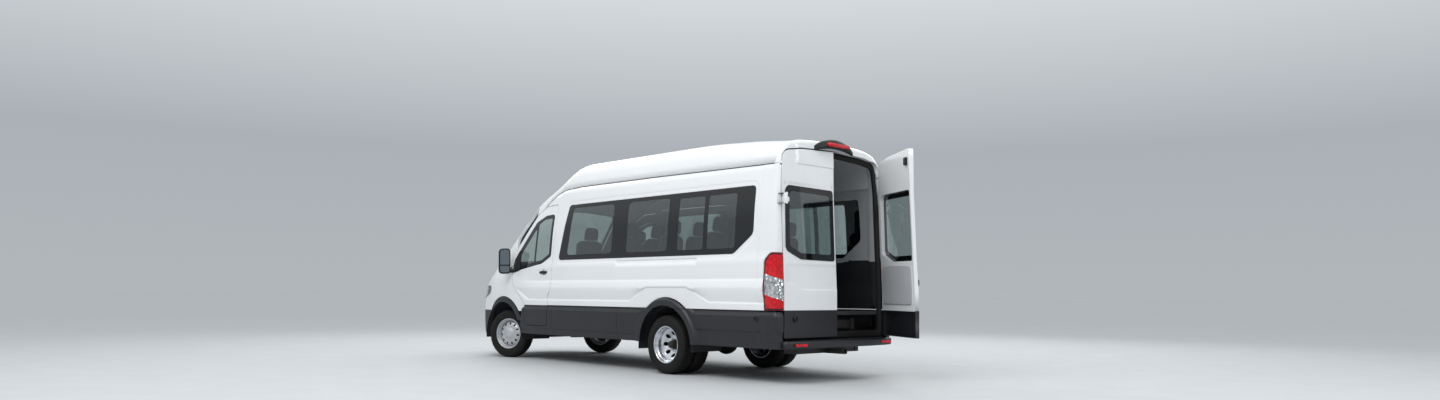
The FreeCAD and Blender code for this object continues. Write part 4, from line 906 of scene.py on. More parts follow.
door_strip = pressed_panel("sliding_door_cladding", side_rays, -1, sliding_loop, [cladding_grey], [above_band],
                           clad_lines, 0.05, 0.04, pressing=clad_relief)
fitted(door_strip, "dark_cladding", "body")

# Rear doors. Two halves that meet on the middle line, pressed with a brow over the glass and a plate
# ledge below it, clad below the band. The right one is shown open, turned about its hinge line.
HINGE_X, HINGE_OUT, OPEN = REAR_X - 0.052, 0.918, math.radians(60)


def swung_open(vectors, direction=False):
    """Turns closed right door points about its hinge line to where it is shown."""
    pin = np.zeros(3) if direction else np.array((HINGE_X, -HINGE_OUT, 0))
    turn = np.array(((math.cos(OPEN), -math.sin(OPEN), 0), (math.sin(OPEN), math.cos(OPEN), 0), (0, 0, 1)))
    return (vectors - pin) @ turn.T + pin


AS_SHOWN = {1: None, -1: swung_open}


def clad_back(p):
    """The rear doors' cladding lies nearly flush, its lower half a little further in."""
    return 0.004 - 0.004 * step_up((0.60 - p[:, 2]) / 0.01)


REAR_WINDOW = ((0.845, 1.45, 0.06), (0.61, 1.357, 0.08), (0.04, 1.35, 0.025), (0.04, 2.14, 0.025),
               (0.83, 2.15, 0.07))
rear_window_loop = rounded(REAR_WINDOW)
opening_loop = rounded(REAR_OPENING)
half_door = moved(opening_loop, -GAP)
over_middle = dense([(-2, 0), (0.005, 0), (0.005, 3), (-2, 3)], 0.5)
rear_below = dense([(-2.0, 0.2), (2.0, 0.2), (2.0, BAND - SEAM), (-2.0, BAND - SEAM)], 0.5)
rear_above = dense([(-2.0, BAND + SEAM), (2.0, BAND + SEAM), (2.0, 3.0), (-2.0, 3.0)], 0.5)
back_lines = [level_line(z, 0.01, 0.90, 0.03) for z in (1.00, 1.013, 1.025, 1.26, 1.285, 1.31, 2.405, 2.414, 2.423)]
back_lines += [level_line(lambda y, d=d: 1.00 + 0.07 * step_up((y - 0.58) / 0.2) + d, 0.01, 0.90, 0.03)
               for d in (0, 0.0125, 0.025)]
back_lines += [ringed(moved(rear_window_loop, d)) for d in (0.014, 0.022, 0.032)]
for sign, side in SIDES:
    door = pressed_panel("rear_door_skin_" + side, rear_rays, sign, half_door, steel_lined,
                         [rear_below, over_middle, moved(rear_window_loop, 0.004)],
                         back_lines, 0.04, 0.05, lining_mark=0, place=AS_SHOWN[sign])
    fitted(door, "white_paint", "rear_door_" + side, "rear_door_" + side)
    shield = pressed_panel("rear_door_cladding_" + side, rear_rays, sign, half_door, [cladding_grey],
                           [rear_above, over_middle], [], 0.04, 0.045, pressing=clad_back, place=AS_SHOWN[sign])
    fitted(shield, "dark_cladding", "rear_door_" + side)

# Glass. Panes of toughened glass bonded outside the steel, their edges printed black; behind the cab it
# is privacy glass. The tint is in the glass, so the shade seen is of the pane's own thickness.
GLAZING = {"Roughness": 0.0, "IOR": 1.5, "Transmission Weight": 1.0, "Coat Weight": 1.0, "Coat Roughness": 0.0,
           "Coat IOR": 1.6}
PRINT = {"Roughness": 0.04, "IOR": 1.5, "Coat Weight": 0.3, "Coat Roughness": 0.0, "Coat IOR": 1.6}
# Privacy glass: smoky, so that the seats show as dim shapes under the reflections.
privacy_glass = shaded("privacy_glass_float", "#B0BEBC", "#B9C7C5", (1.5, 2.0), GLAZING, space="Generated")
# Tinted glass: clear, with a green cast.
clear_glass = shaded("green_tinted_glass_float", "#DFEBE6", "#E5F0EC", (1.5, 2.0), GLAZING, space="Generated")
# Ceramic print fired on glass: deep black under a polish.
printed_edge = shaded("black_ceramic_printed_glass", "#0A0B0D", "#0F1114", (2.0, 2.0), PRINT, space="Generated")


def pane(name, node, body, rays, sign, loop, clear, glass, cuts=(), place=None, sunk=0.001, step=0.06):
    """One bonded pane: clear inside the given loops, printed black elsewhere."""
    rims = [ringed(c) for c in clear]

    def zone(centres):
        """Clear within the rims, printed beyond them."""
        seen = np.zeros(len(centres), bool)
        for loop in clear:
            seen |= inside(centres, loop)
        return np.where(seen, 0, 1)

    thing = pressed_panel(name, rays, sign, loop, [glass, printed_edge], cuts, rims, step, 0.004, sunk=sunk,
                          pressing=None, mark=zone, lining_mark=zone, place=place, hem=0.0015)
    fitted(thing, "tinted_glass" if glass is privacy_glass else "clear_glass", body)
    if node:
        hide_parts(node)
    return thing


FRONT_PANE = rounded(((-1.62, 1.475, 0.05), (-2.62, 1.475, 0.05), (-2.62, 2.12, 0.05), (-1.70, 2.12, 0.05)), 0.06)
band_clear = [FRONT_PANE, box_loop(-3.73, -2.93, 1.475, 2.12, 0.05), box_loop(-4.37, -3.92, 1.475, 2.10, 0.03),
              box_loop(-4.90, -4.44, 1.475, 2.10, 0.03)]
rear_of_door = dense([(-2.79 - 0.004, 1.2), (-6, 1.2), (-6, 2.4), (-2.79 - 0.004, 2.4)], 0.3)
ahead_of_door = dense([(-2.79 + 0.004, 1.2), (-1, 1.2), (-1, 2.4), (-2.79 + 0.004, 2.4)], 0.3)
pane("side_glass_left", "side_windows", "body", side_rays, 1, moved(band_loop, 0.006), band_clear, privacy_glass)
pane("side_glass_right", None, "body", side_rays, -1, moved(band_loop, 0.006), band_clear, privacy_glass,
     cuts=[ahead_of_door])
pane("sliding_door_pane", "sliding_door_glass", "body", side_rays, -1, moved(band_loop, 0.006), band_clear,
     privacy_glass, cuts=[rear_of_door])
for sign, side in SIDES:
    drop_clear = rounded(((-1.178, 1.50, 0.03), (-1.00, 1.418, 0.10), (-0.845, 1.396, 0.01), (-0.835, 1.935, 0.02),
                          (-0.97, 1.998, 0.12), (-1.178, 2.008, 0.03)))
    quarter_clear = rounded(((-0.805, 1.392, 0.01), (-0.455, 1.345, 0.04), (-0.400, 1.49, 0.04), (-0.790, 1.882, 0.02)))
    pane("front_door_pane_" + side, "front_door_glass_" + side, "front_door_" + side, side_rays, sign,
         moved(window_loop, 0.018), [drop_clear, quarter_clear], clear_glass, sunk=0.003)
    rear_clear = rounded(((0.79, 1.49, 0.05), (0.60, 1.415, 0.08), (0.095, 1.41, 0.03), (0.095, 2.085, 0.04),
                          (0.775, 2.095, 0.05)))
    pane("rear_door_pane_" + side, "rear_door_glass_" + side, "rear_door_" + side, rear_rays, sign,
         moved(rear_window_loop, 0.012), [rear_clear], privacy_glass, place=AS_SHOWN[sign])
screen_clear = rounded(((0.740, 0.075, 0.10), (0.790, 0.20, 0.3), (0.612, 1.225, 0.10), (0, 1.262, 3.0),
                        (-0.612, 1.225, 0.10), (-0.790, 0.20, 0.3), (-0.740, 0.075, 0.10), (0, 0.05, 3.0)))
pane("windscreen_pane", "windscreen", "body", screen_rays, 1, moved(screen_loop, -0.001), [screen_clear],
     clear_glass, sunk=0.006)

# Tail lamps. A tall lens of red and clear acrylic on each rear corner, with a silvered clear part that
# slants between the two red ones, set in a black surround.
lamp_surround = moved(rounded(TAIL_LAMP), -0.002)
# Red acrylic: deep red, broken into facets 26 mm across, coarser than the real ones, each with a painted highlight in
# its middle and painted shade at its edge.
red_lens_painted_highlights = shaded("red_acrylic_painted_facet_highlights", "#EE0A1A", "#8E000E", 38.0,
                  {"Roughness": 0.3, "Specular IOR Level": 0.2, "Coat Weight": 0.5, "Coat Roughness": 0.03},
                  (0, 0, 0.004, 0.5), cells=True)
# Silvered acrylic: facets 42 mm across with a painted sparkle, a painted highlight in each facet's middle and painted
# shade at its edge.
silvered = shaded("silvered_reflector_behind_clear_acrylic_painted_sparkle", "#F2F4F5", "#8A8E92", 24.0,
                  {"Roughness": 0.15, "Metallic": 0.9, "Coat Weight": 1.0}, (0, 0, 0.02, 0.9), cells=True)


def lamp_split(x, start, drop):
    """Height of a slanted joint between two lenses, falling towards the door."""
    return start - drop * (-5.39 - x) / 0.27


def lamp_zone(centres):
    """Red above, silvered clear between the slanted joints, red below, black round the edge."""
    x, z = centres.T
    zone = np.where(z > lamp_split(x, 1.184, 0.070), 0, np.where(z > lamp_split(x, 0.962, 0.076), 1, 0))
    return np.where(distance(centres, lamp_surround) < 0.020, 2, zone)


lamp_lines = [np.stack([x, lamp_split(x, *split)], 1) for split in ((1.184, 0.070), (0.962, 0.076))
              for x in [np.arange(-5.69, -5.36, 0.02)]]
lamp_lines.append(ringed(moved(lamp_surround, -0.020)))
past_edge = np.concatenate([opening_side, [(-5.9, 2.4), (-5.9, 0.3), (opening_side[0][0], 0.3)]])
for sign, side in SIDES:
    lamp = pressed_panel("tail_lamp_" + side, side_rays, sign, lamp_surround, [red_lens_painted_highlights, silvered, black_plastic],
                         [past_edge], lamp_lines, 0.025, 0.04, sunk=-0.004, pressing=None, mark=lamp_zone)
    fitted(lamp, "lamp_red", "body")
    if sign > 0:
        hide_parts("tail_lamps")

# Front bumper, grille and arch lips. Black mouldings clipped to the nose, the grille with bars across its
# opening, and a lip round each front arch.
BUMPER_TOP = 0.69


def bumper_relief(p):
    """One wide intake pressed in, and a chin that falls back below it."""
    y, z = np.abs(p[:, 1]), p[:, 2]
    intake = step_up((0.52 - y) / 0.06) * step_up((z - 0.42) / 0.03) * step_up((0.62 - z) / 0.03)
    return -0.030 * intake - 0.012 * step_up((0.36 - z) / 0.04) * step_up((p[:, 0] - 0.45) / 0.2)


bumper_lines = [level_line(z, -1.2, 1.2, 0.03) for z in (0.32, 0.36, 0.42, 0.45, 0.59, 0.62)]
arch_front = nose_flat(from_side(circle(0, AXLE_Z, 0.470)))
back_of_bumper = nose_flat(from_side([(0.372, 0.69), (0.372, 0.30)]))
edge_in = float(back_of_bumper[:, 0].mean())
bumper_loop = dense([(-edge_in, BUMPER_TOP), (-edge_in, 0.305), (edge_in, 0.305), (edge_in, BUMPER_TOP)], 0.04)
bumper = pressed_panel("front_bumper_moulding", nose_rays, 1, bumper_loop, [cladding_grey],
                       [arch_front, (arch_front * (-1, 1))[::-1]], bumper_lines, 0.04, 0.04, pressing=bumper_relief)
fitted(bumper, "dark_cladding", "body", "front_bumper")


def grille_relief(p):
    """Level bars across the opening, with a frame round them."""
    z = p[:, 2]
    flat = nose_flat(p)
    edge = distance(flat, grille_loop)
    bars = 0.5 + 0.5 * np.cos((z - 0.70) / 0.235 * 5 * 2 * math.pi)
    return -0.034 * (1 - step_up((bars - 0.45) / 0.25)) * step_up((edge - 0.018) / 0.01)


grille_lines = [level_line(z, -0.46, 0.47, 0.03) for z in np.arange(0.71, 0.93, 0.0055)]
grille = pressed_panel("grille_bars", nose_rays, 1, grille_loop, [black_plastic], (), grille_lines, 0.03, 0.05,
                       sunk=0.004, pressing=grille_relief)
fitted(grille, "black_plastic", "body", "grille")


def lip_relief(p):
    """A lip that swells towards the wheel."""
    ring = np.hypot(p[:, 0], p[:, 2] - AXLE_Z)
    return 0.014 * step_up((0.546 - ring) / 0.02) + 0.002


for sign, side in SIDES:
    lip_loop = circle(0, AXLE_Z, 0.546, 90)
    lip_cuts = [circle(0, AXLE_Z, 0.470, 80), dense([(-1, -1), (1, -1), (1, 0.56), (-1, 0.56)], 0.5),
                moved(front_door_loop, GAP)]
    lip = pressed_panel("front_arch_lip_" + side, side_rays, sign, lip_loop, [cladding_grey], lip_cuts, (), 0.03,
                        0.03, pressing=lip_relief)
    fitted(lip, "dark_cladding", "body")

# Rear bumper. A moulding round each rear corner below the lamps, with a full-width step between them.


def corner_relief(p):
    """A full face between an undercut at the bottom and a bevel under the paint."""
    z = p[:, 2]
    face = 0.006 + 0.012 * step_up((p[:, 0] + 5.50) / 0.10)
    return (face - 0.012 * step_up((0.565 - z) / 0.02) + 0.010 * step_up((0.50 - z) / 0.02)
            - (face + 0.022) * np.clip((z - 0.718) / 0.062, 0, 1))


corner_edge = side_view([(0.905 + GAP, z) for z in np.arange(0.50, 0.79, 0.03)])
corner_outline = dense([(-5.30, 0.375), (-5.30, BAND - SEAM)] + [tuple(p) for p in corner_edge[::-1]]
                       + [(-5.62, 0.50), (-5.62, 0.375)])
corner_lines = [level_line(z, -5.75, -5.28) for z in (0.48, 0.50, 0.545, 0.565, 0.712, 0.718, 0.75)]
for sign, side in SIDES:
    corner = pressed_panel("rear_bumper_corner_" + side, side_rays, sign, corner_outline, [cladding_grey], (),
                           corner_lines, 0.04, 0.03, pressing=corner_relief)
    fitted(corner, "dark_cladding", "body")
    if sign > 0:
        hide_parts("rear_bumper")


def wound(rows, count, closed=False):
    """Faces of a skin through rows of points, with flat ends unless the rows close on themselves."""
    faces = [(k * count + i, k * count + (i + 1) % count, (k + 1) % rows * count + (i + 1) % count,
              (k + 1) % rows * count + i) for k in range(rows if closed else rows - 1) for i in range(count)]
    return faces if closed else faces + [tuple(range(count))[::-1], tuple(range((rows - 1) * count, rows * count))]


def swept(name, section, path, materials, closed=False):
    """A closed section carried along a path of 3-D frames: place, across and up for each station."""
    points = [np.array(place) + np.array(across) * s + np.array(up) * t for place, across, up in path
              for s, t in section]
    return add_mesh(name, np.array(points), wound(len(path), len(section), closed), materials)


STEP_SECTION = rounded(((0.0, 0.375, 0.02), (0.0, 0.455, 0.015), (0.30, 0.470, 0.02), (0.30, 0.385, 0.02)), 0.02)
step_path = [((REAR_X - 0.125 + 0.06 * (abs(y) / 0.93) ** 6, y, 0), (1, 0, 0), (0, 0, 1))
             for y in np.linspace(-0.93, 0.93, 41)]
step = swept("rear_step", STEP_SECTION, step_path, [cladding_grey])
fitted(step, "dark_cladding", "body")

# Tyres. Radial van tyres, moulded rubber: four grooves round the tread, cut blocks on the shoulders, and
# fine rings and a rim guard on the sidewalls.
def wheel_frame(joint, out=0.0):
    """Centre, outward axle line, and the two directions square to it for a wheel's joint."""
    row = next(j for j in frame["joints"] if j["name"] == joint)
    centre, line = Vector(row["pos_m"]), Vector(row["axis"]).normalized()
    if line.y * centre.y < 0:
        line = -line
    up = Vector((0, 0, 1))
    return centre - Vector((AXLE_X, 0, 0)) + line * out, line, up, line.cross(up)


def turned(name, profile, wheel, materials, count=96, dent=None, sharp=35):
    """A closed profile of (radius, along the axle) carried round a wheel's axle; dent lowers it by place."""
    centre, line, up, over = [np.array(v) for v in wheel]
    radius, along = np.array(profile, float).T
    turn = np.linspace(0, 2 * math.pi, count, endpoint=False)
    r = np.repeat(radius[None], count, 0)
    if dent is not None:
        r = r - dent(turn[:, None], radius[None], along[None])
    points = (centre + along[None, :, None] * line + r[:, :, None] * (
        np.cos(turn)[:, None, None] * up + np.sin(turn)[:, None, None] * over)).reshape(-1, 3)
    return face_outward(add_mesh(name, points, wound(count, len(profile), True), materials), sharp)


def face_outward(thing, sharp):
    """Turns every face of a closed mesh outward and keeps its edges crisp above an angle."""
    mesh = thing.data
    first = mesh.vertices[0].co
    if sum((mesh.vertices[p.vertices[0]].co - first).dot(p.normal) * p.area for p in mesh.polygons) < 0:
        mesh.flip_normals()
    mesh.set_sharp_from_angle(angle=math.radians(sharp))
    return thing


# Rubber: dull black, greyer where dust has settled in patches 0.1 m across; a 3 mm grain roughens it.
rubber = shaded("tyre_rubber_moulded", "#0F0F10", "#201F1E", (9.0, 6.0),
                {"Roughness": 0.75, "Specular IOR Level": 0.25}, (300.0, 2.0, 0.0006, 0.4))

SIDEWALL = ((0.2195, 0.076), (0.2210, 0.083), (0.2270, 0.0875), (0.2330, 0.0895), (0.2345, 0.0925), (0.2390, 0.0930),
            (0.2410, 0.0915), (0.2580, 0.0955), (0.2600, 0.0965), (0.2630, 0.0965), (0.2650, 0.0958), (0.2800, 0.0972),
            (0.2950, 0.0965), (0.3080, 0.0940), (0.3100, 0.0950), (0.3150, 0.0935), (0.3170, 0.0915), (0.3290, 0.0865),
            (0.3380, 0.0810), (0.3430, 0.0755))
TREAD = (0.0700, 0.0640, 0.0570, 0.0530, 0.0515, 0.0455, 0.0440, 0.0330, 0.0220, 0.0205, 0.0145, 0.0130, 0.0)
GROOVES, GROOVE_DEPTH, TREAD_CROWN, BLOCKS = ((0.0515, 0.0455), (0.0205, 0.0145)), 0.0075, 0.3493, 60


def tread_radius(along):
    """The crowned tread with its grooves."""
    deep = any(low - 1e-6 <= abs(along) <= high + 1e-6 for high, low in GROOVES)
    return TREAD_CROWN - 0.30 * along ** 2 - 60 * along ** 4 - (GROOVE_DEPTH if deep else 0)


half = list(SIDEWALL) + [(tread_radius(a), a) for a in TREAD]
tyre_profile = half + [(r, -a) for r, a in half[-2::-1]]
tyre_profile += [(0.2150, -0.070), (0.2150, 0.070)]


def tread_cut(turn, radius, along):
    """Shoulder blocks and centre sipes: notches pressed in round the tread."""
    phase = (turn * BLOCKS / (2 * math.pi) + np.where(along > 0, 0.0, 0.5)) % 1
    notch = phase < 0.26
    shoulder = (np.abs(along) > 0.054) & (radius > 0.325)
    centre_phase = (turn * BLOCKS / (2 * math.pi) + along * 18) % 1
    middle = (np.abs(along) < 0.044) & (radius > 0.34)
    return 0.006 * notch * shoulder + 0.003 * (centre_phase < 0.25) * middle


TWIN_OUT, TWIN_IN = 0.118, -0.118
wheels = [(start + side, body + side, out, side) for _, side in SIDES
          for start, body, out in (("front_", "front_wheel_", 0.0), ("rear_outer_", "rear_wheels_", TWIN_OUT),
                                   ("rear_inner_", "rear_wheels_", TWIN_IN))]
for name, body, out, side in wheels:
    tyre = turned(name + "_tyre_tread", tyre_profile, wheel_frame(body + "_spin", out), [rubber], 240, tread_cut)
    fitted(tyre, "tyre_rubber", body)
    if out >= 0:
        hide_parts(("rear_tyres_" if out else "front_tyre_") + side)

# Wheels. Pressed steel rims: silver painted in front with a bulged disc and eleven hand holes, bright
# plated behind, where the outer disc is dished deep inward round the hub.
# Silver paint: pale metallic grey with soft highlights.
silver_paint = shaded("silver_paint_on_steel_wheel", "#B4B6BA", "#C9CBCE", (12.0, 5.0),
                      {"Roughness": 0.38, "Metallic": 0.55, "Coat Weight": 0.3})
# Nickel plate: mirror bright, hazy in places.
bright_plate = shaded("nickel_plate_polished", "#C4C7CC", "#DDE0E4", (10.0, 6.0),
                      {"Roughness": (0.10, 0.26), "Metallic": 1.0})
# Painted cast iron: black and dusted brown, with the 8 mm lumps of its sand mould.
black_iron = shaded("black_paint_on_cast_iron", "#131416", "#2A2826", (5.0, 6.0), {"Roughness": 0.6},
                    (120.0, 4.0, 0.001, 0.5))

RIM = ((0.2220, 0.0790), (0.2220, 0.0830), (0.2180, 0.0850), (0.2110, 0.0830), (0.2065, 0.0770), (0.2040, 0.0550),
       (0.1960, 0.0480), (0.1880, 0.0380), (0.1860, 0.0200), (0.1860, -0.0200), (0.1960, -0.0450), (0.2040, -0.0560),
       (0.2065, -0.0770), (0.2110, -0.0830), (0.2180, -0.0850), (0.2220, -0.0830), (0.2220, -0.0790),
       (0.2165, -0.0790), (0.2105, -0.0540), (0.2020, -0.0410), (0.1920, -0.0190), (0.1920, 0.0190), (0.1940, 0.0370),
       (0.2010, 0.0430), (0.2105, 0.0530), (0.2165, 0.0790))
front_dish = faired(((0.0, 0.080), (0.060, 0.078), (0.088, 0.062), (0.105, 0.060), (0.130, 0.058), (0.168, 0.040),
                     (0.187, 0.014)), 0.012, 0.002)
twin_dish = faired(((0.0, -0.066), (0.095, -0.066), (0.108, -0.058), (0.150, -0.020), (0.175, -0.006),
                    (0.187, -0.004)), 0.010, 0.002)


def ellipses(count, at, radial, across):
    """Rounded hand holes set round a disc."""
    holes = []
    turn = np.linspace(0, 2 * math.pi, 20, endpoint=False)
    for k in range(count):
        angle = 2 * math.pi * k / count
        u, v = at + radial * np.cos(turn), across * np.sin(turn)
        holes.append(np.stack([u * math.cos(angle) - v * math.sin(angle),
                               u * math.sin(angle) + v * math.cos(angle)], 1))
    return holes


def disc(name, wheel, dish, holes, materials, flip=1, thick=0.004, rim=0.187, step=0.016):
    """A dished steel disc with holes whose edges roll inward."""
    centre, line, up, over = [np.array(v) for v in wheel]
    rings = [circle(0, 0, r, 60) for r in (0.060, 0.088, 0.105, 0.168)]
    flat, faces = fill(circle(0, 0, rim, 72), [moved(h, 0.003) for h in holes], [ringed(r) for r in rings],
                       step)
    radius = np.hypot(*flat.T)
    lip = np.minimum.reduce([distance(flat, moved(h, 0.003)) for h in holes]) if holes else np.full(len(flat), 1.0)
    height = dish(radius) - 0.003 * (1 - step_up(lip / 0.006))

    def placed(uv, h):
        """Flat points at their heights along the axle."""
        return centre + flip * h[:, None] * line + uv[:, :1] * up + uv[:, 1:] * over

    points, all_faces, at = [placed(flat, height), placed(flat, height - thick)], [], len(flat)
    all_faces += [tuple(f) for f in faces.tolist()] + [tuple(i + at for i in f[::-1]) for f in faces.tolist()]
    for loop in edge_loops(faces):
        all_faces += [(loop[(i + 1) % len(loop)], loop[i], loop[i] + at, loop[(i + 1) % len(loop)] + at)
                      for i in range(len(loop))]
    return face_outward(add_mesh(name, np.concatenate(points), all_faces, materials), 40)


FRONT_CAP = ((0.0, 0.0830), (0.020, 0.0828), (0.040, 0.0818), (0.052, 0.0800), (0.056, 0.0780), (0.056, 0.0700),
             (0.0, 0.0700))
REAR_HUB = ((0.0, 0.020), (0.030, 0.020), (0.036, 0.016), (0.040, 0.0), (0.046, -0.010), (0.048, -0.055),
            (0.062, -0.058), (0.062, -0.070), (0.0, -0.070))
NUT = ((0.0, -0.038), (0.007, -0.038), (0.0115, -0.042), (0.0115, -0.060), (0.016, -0.062), (0.016, -0.066),
       (0.0, -0.066))
NUTS, NUT_CIRCLE = 6, 0.078
for name, body, out, side in wheels:
    place = wheel_frame(body + "_spin", out)
    middle, line, up, over = place
    metal = bright_plate if out else silver_paint
    rim = turned(name + "_rim_barrel", RIM, place, [metal], 96, sharp=50)
    if out == 0:
        pieces = [disc(name + "_wheel_disc", place, front_dish, ellipses(11, 0.147, 0.017, 0.0115), [metal]),
                  turned(name + "_hub_cap", FRONT_CAP, place, [silver_paint], 40)]
    else:
        pieces = [disc(name + "_wheel_disc", place, twin_dish,
                       ellipses(8, 0.132, 0.022, 0.022) + [circle(0, 0, 0.05, 24)], [metal], -1 if out < 0 else 1)]
    if out > 0:
        pieces.append(turned(name + "_hub_cap", REAR_HUB, place, [black_iron], 40))
        for k in range(NUTS):
            angle = 2 * math.pi * (k + 0.5) / NUTS
            spot = middle + (up * math.cos(angle) + over * math.sin(angle)) * NUT_CIRCLE
            pieces.append(turned("%s_wheel_nut_%d" % (name, k), NUT, (spot, line, up, over), [bright_plate], 6))
    for piece in [rim] + pieces:
        fitted(piece, "bright_wheel" if out else "painted_wheel", body)
    if out >= 0:
        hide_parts(("rear_rims_" if out else "front_rim_") + side)

# Brakes. Cast iron discs in front and drums behind, dark inside the wheels.
DISC = ((0.0, 0.050), (0.080, 0.050), (0.085, 0.046), (0.088, 0.012), (0.160, 0.010), (0.164, 0.006),
        (0.164, -0.016), (0.160, -0.020), (0.0, -0.020))
DRUM = ((0.0, -0.075), (0.150, -0.075), (0.158, -0.080), (0.160, -0.100), (0.166, -0.104), (0.166, -0.110),
        (0.160, -0.114), (0.160, -0.150), (0.166, -0.160), (0.0, -0.160))
for _, side in SIDES:
    for name, body, out, profile in (("front_brake_disc_", "front_wheel_", 0.0, DISC),
                                     ("rear_brake_drum_", "rear_wheels_", TWIN_OUT, DRUM)):
        brake = turned(name + side, profile, wheel_frame(body + side + "_spin", out), [black_iron], 48)
        fitted(brake, "iron_block", body + side)

# Arch liners. Black felted plastic half tubes over each wheel.
LINER = ((0.486, None), (0.482, None), (0.482, 0.030), (0.470, 0.005), (0.25, 0.005), (0.25, 0.0), (0.486, 0.0))
for sign, side in SIDES:
    for end, along, low, far in (("front", 0.0, 0.50, 0.995), ("rear", REAR_AXLE, 0.56, 1.045)):
        arcs = np.linspace(math.radians(-8), math.radians(188), 50)
        points = [(along + radius * math.cos(t), sign * (far if out is None else low + out),
                   AXLE_Z + radius * math.sin(t)) for t in arcs for radius, out in LINER]
        liner = add_mesh("%s_arch_liner_%s" % (end, side), points, wound(len(arcs), len(LINER)), [trim_dark])
        face_outward(liner, 40)
        fitted(liner, "underbody", "body")

# Cowl and wipers. A black moulded grille fills the valley between the bonnet and the windscreen, and two
# black painted steel arms press their blades on the glass.
def stacked(loop, levels, place, across, up, out):
    """A closed solid: one flat loop at several levels, each (height, grown by), with flat ends."""
    place, across, up, out = (np.array(v, float) for v in (place, across, up, out))
    loop = np.array(loop, float)
    points = np.concatenate([place + ring[:, :1] * across + ring[:, 1:] * up + height * out
                             for height, grown in levels for ring in [moved(loop, grown) if grown else loop]])
    return points, wound(len(levels), len(loop))


def rod(path, radius, sides=10):
    """A bar of round section along a path; its radius may change on the way."""
    path = np.array(path, float)
    run = np.gradient(path, axis=0)
    run /= np.linalg.norm(run, axis=1)[:, None]
    over = np.cross(run, (0.31, 0.17, 0.93))
    over /= np.linalg.norm(over, axis=1)[:, None]
    beside = np.cross(run, over)
    turn = np.linspace(0, 2 * math.pi, sides, endpoint=False)
    size = np.broadcast_to(radius, len(path))[:, None, None]
    points = path[:, None] + size * (np.cos(turn)[None, :, None] * over[:, None]
                                     + np.sin(turn)[None, :, None] * beside[:, None])
    return points.reshape(-1, 3), wound(len(path), sides)


def joined(name, solids, materials, sharp=35, place=None):
    """Several closed solids as one piece; each is points, faces and, where it isn't the first, its material."""
    points, faces, marks, at = [], [], [], 0
    for solid in solids:
        where_to, sides = solid[0], solid[1]
        middle, volume = where_to.mean(0), 0.0
        for f in sides:
            a = where_to[f[0]] - middle
            for k in range(1, len(f) - 1):
                volume += float(np.dot(a, np.cross(where_to[f[k]] - middle, where_to[f[k + 1]] - middle)))
        faces += [tuple(i + at for i in (f if volume > 0 else f[::-1])) for f in sides]
        marks += [solid[2] if len(solid) > 2 else 0] * len(sides)
        points.append(where_to)
        at += len(where_to)
    points = np.concatenate(points)
    thing = add_mesh(name, place(points) if place else points, faces, materials, marks)
    thing.data.set_sharp_from_angle(angle=math.radians(sharp))
    return thing


cowl_front = np.array(sorted([tuple(p) for p in bonnet_loop if p[0] < 0.50 and abs(p[1]) < 0.74],
                             key=lambda p: p[1])) - (GAP, 0)
cowl_depth = 0.095 - 0.035 * (cowl_front[:, 1] / 0.74) ** 2
cowl_outline = dense(np.concatenate([cowl_front, (cowl_front - np.stack([cowl_depth, cowl_depth * 0], 1))[::-1]]), 0.02)


SLOT_PITCH = 0.030


def cowl_relief(p):
    """Slots across the air intake."""
    slots = 0.5 + 0.5 * np.cos(p[:, 1] / SLOT_PITCH * 2 * math.pi)
    ahead = np.interp(p[:, 1], cowl_front[:, 1], cowl_front[:, 0]) - p[:, 0]
    field = (step_up((ahead - 0.012) / 0.006) * step_up((0.055 - ahead) / 0.006)
             * step_up((0.66 - np.abs(p[:, 1])) / 0.01))
    return -0.006 * step_up((slots - 0.4) / 0.3) * field


cowl_lines = [cowl_front[(np.abs(cowl_front[:, 1]) < 0.70)] - (d, 0) for d in (0.012, 0.018, 0.049, 0.055)]
cowl = pressed_panel("cowl_grille", plan_rays, 1, cowl_outline, [black_plastic], (), cowl_lines, 0.012, 0.03,
                     sunk=-0.003, pressing=cowl_relief)
fitted(cowl, "black_plastic", "body")
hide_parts("windscreen_frame")


def on_screen(points, off):
    """Places over the windscreen, so far off it."""
    place, normal = on_skin(screen_rays, points)
    return place + normal * np.broadcast_to(off, len(place))[:, None]


def run_between(start, end, count=9):
    """Points along a straight run."""
    return np.array(start) + (np.array(end) - np.array(start)) * np.linspace(0, 1, count)[:, None]


wipers = []
for pivot, tip, blade_from, blade_to in (((0.70, 0.005), (0.30, 0.092), (0.62, 0.062), (-0.02, 0.120)),
                                         ((-0.05, -0.005), (-0.42, 0.088), (-0.10, 0.060), (-0.70, 0.110))):
    wipers.append(rod(on_screen(run_between(pivot, tip), np.linspace(0.030, 0.020, 9)),
                      np.linspace(0.010, 0.005, 9), 8))
    wipers.append(rod(on_screen(run_between(blade_from, blade_to, 15), 0.015), 0.0055, 8))
    wipers.append(rod(on_screen(run_between(blade_from, blade_to, 15), 0.007), 0.0035, 6))
    wipers.append(rod(on_screen([pivot] * 5, np.linspace(0.0, 0.040, 5)) + np.linspace(0, 1e-4, 5)[:, None],
                      (0.017, 0.017, 0.016, 0.013, 0.006), 14))
wiper = joined("wiper_arms_and_blades", wipers, [black_plastic])
fitted(wiper, "black_plastic", "body")

# Headlamps. A clear acrylic cover over a black moulded housing with two silvered bowls, one on each wing's
# front corner.
# Clear acrylic: seen only by its reflections.
clear_acrylic = shaded("clear_acrylic_moulded", "#F2F4F5", "#FAFBFB", (20.0, 3.0),
                       {"Roughness": 0.02, "IOR": 1.49, "Transmission Weight": 1.0})
BOWLS = ((0.600, 0.908, 0.044), (0.850, 0.955, 0.044))


def bowl_relief(p):
    """A hollow for each bowl."""
    flat, out = nose_flat(p), 0
    for across, up, size in BOWLS:
        out = out - 0.030 * np.clip(1 - (np.hypot(flat[:, 0] - across, flat[:, 1] - up) / size) ** 2, 0, 1)
    return out


def bowl_zone(centres):
    """Silvered in the bowls, black elsewhere."""
    near = np.minimum.reduce([np.hypot(centres[:, 0] - a, centres[:, 1] - u) / r for a, u, r in BOWLS])
    return np.where(near < 1, 1, 0)


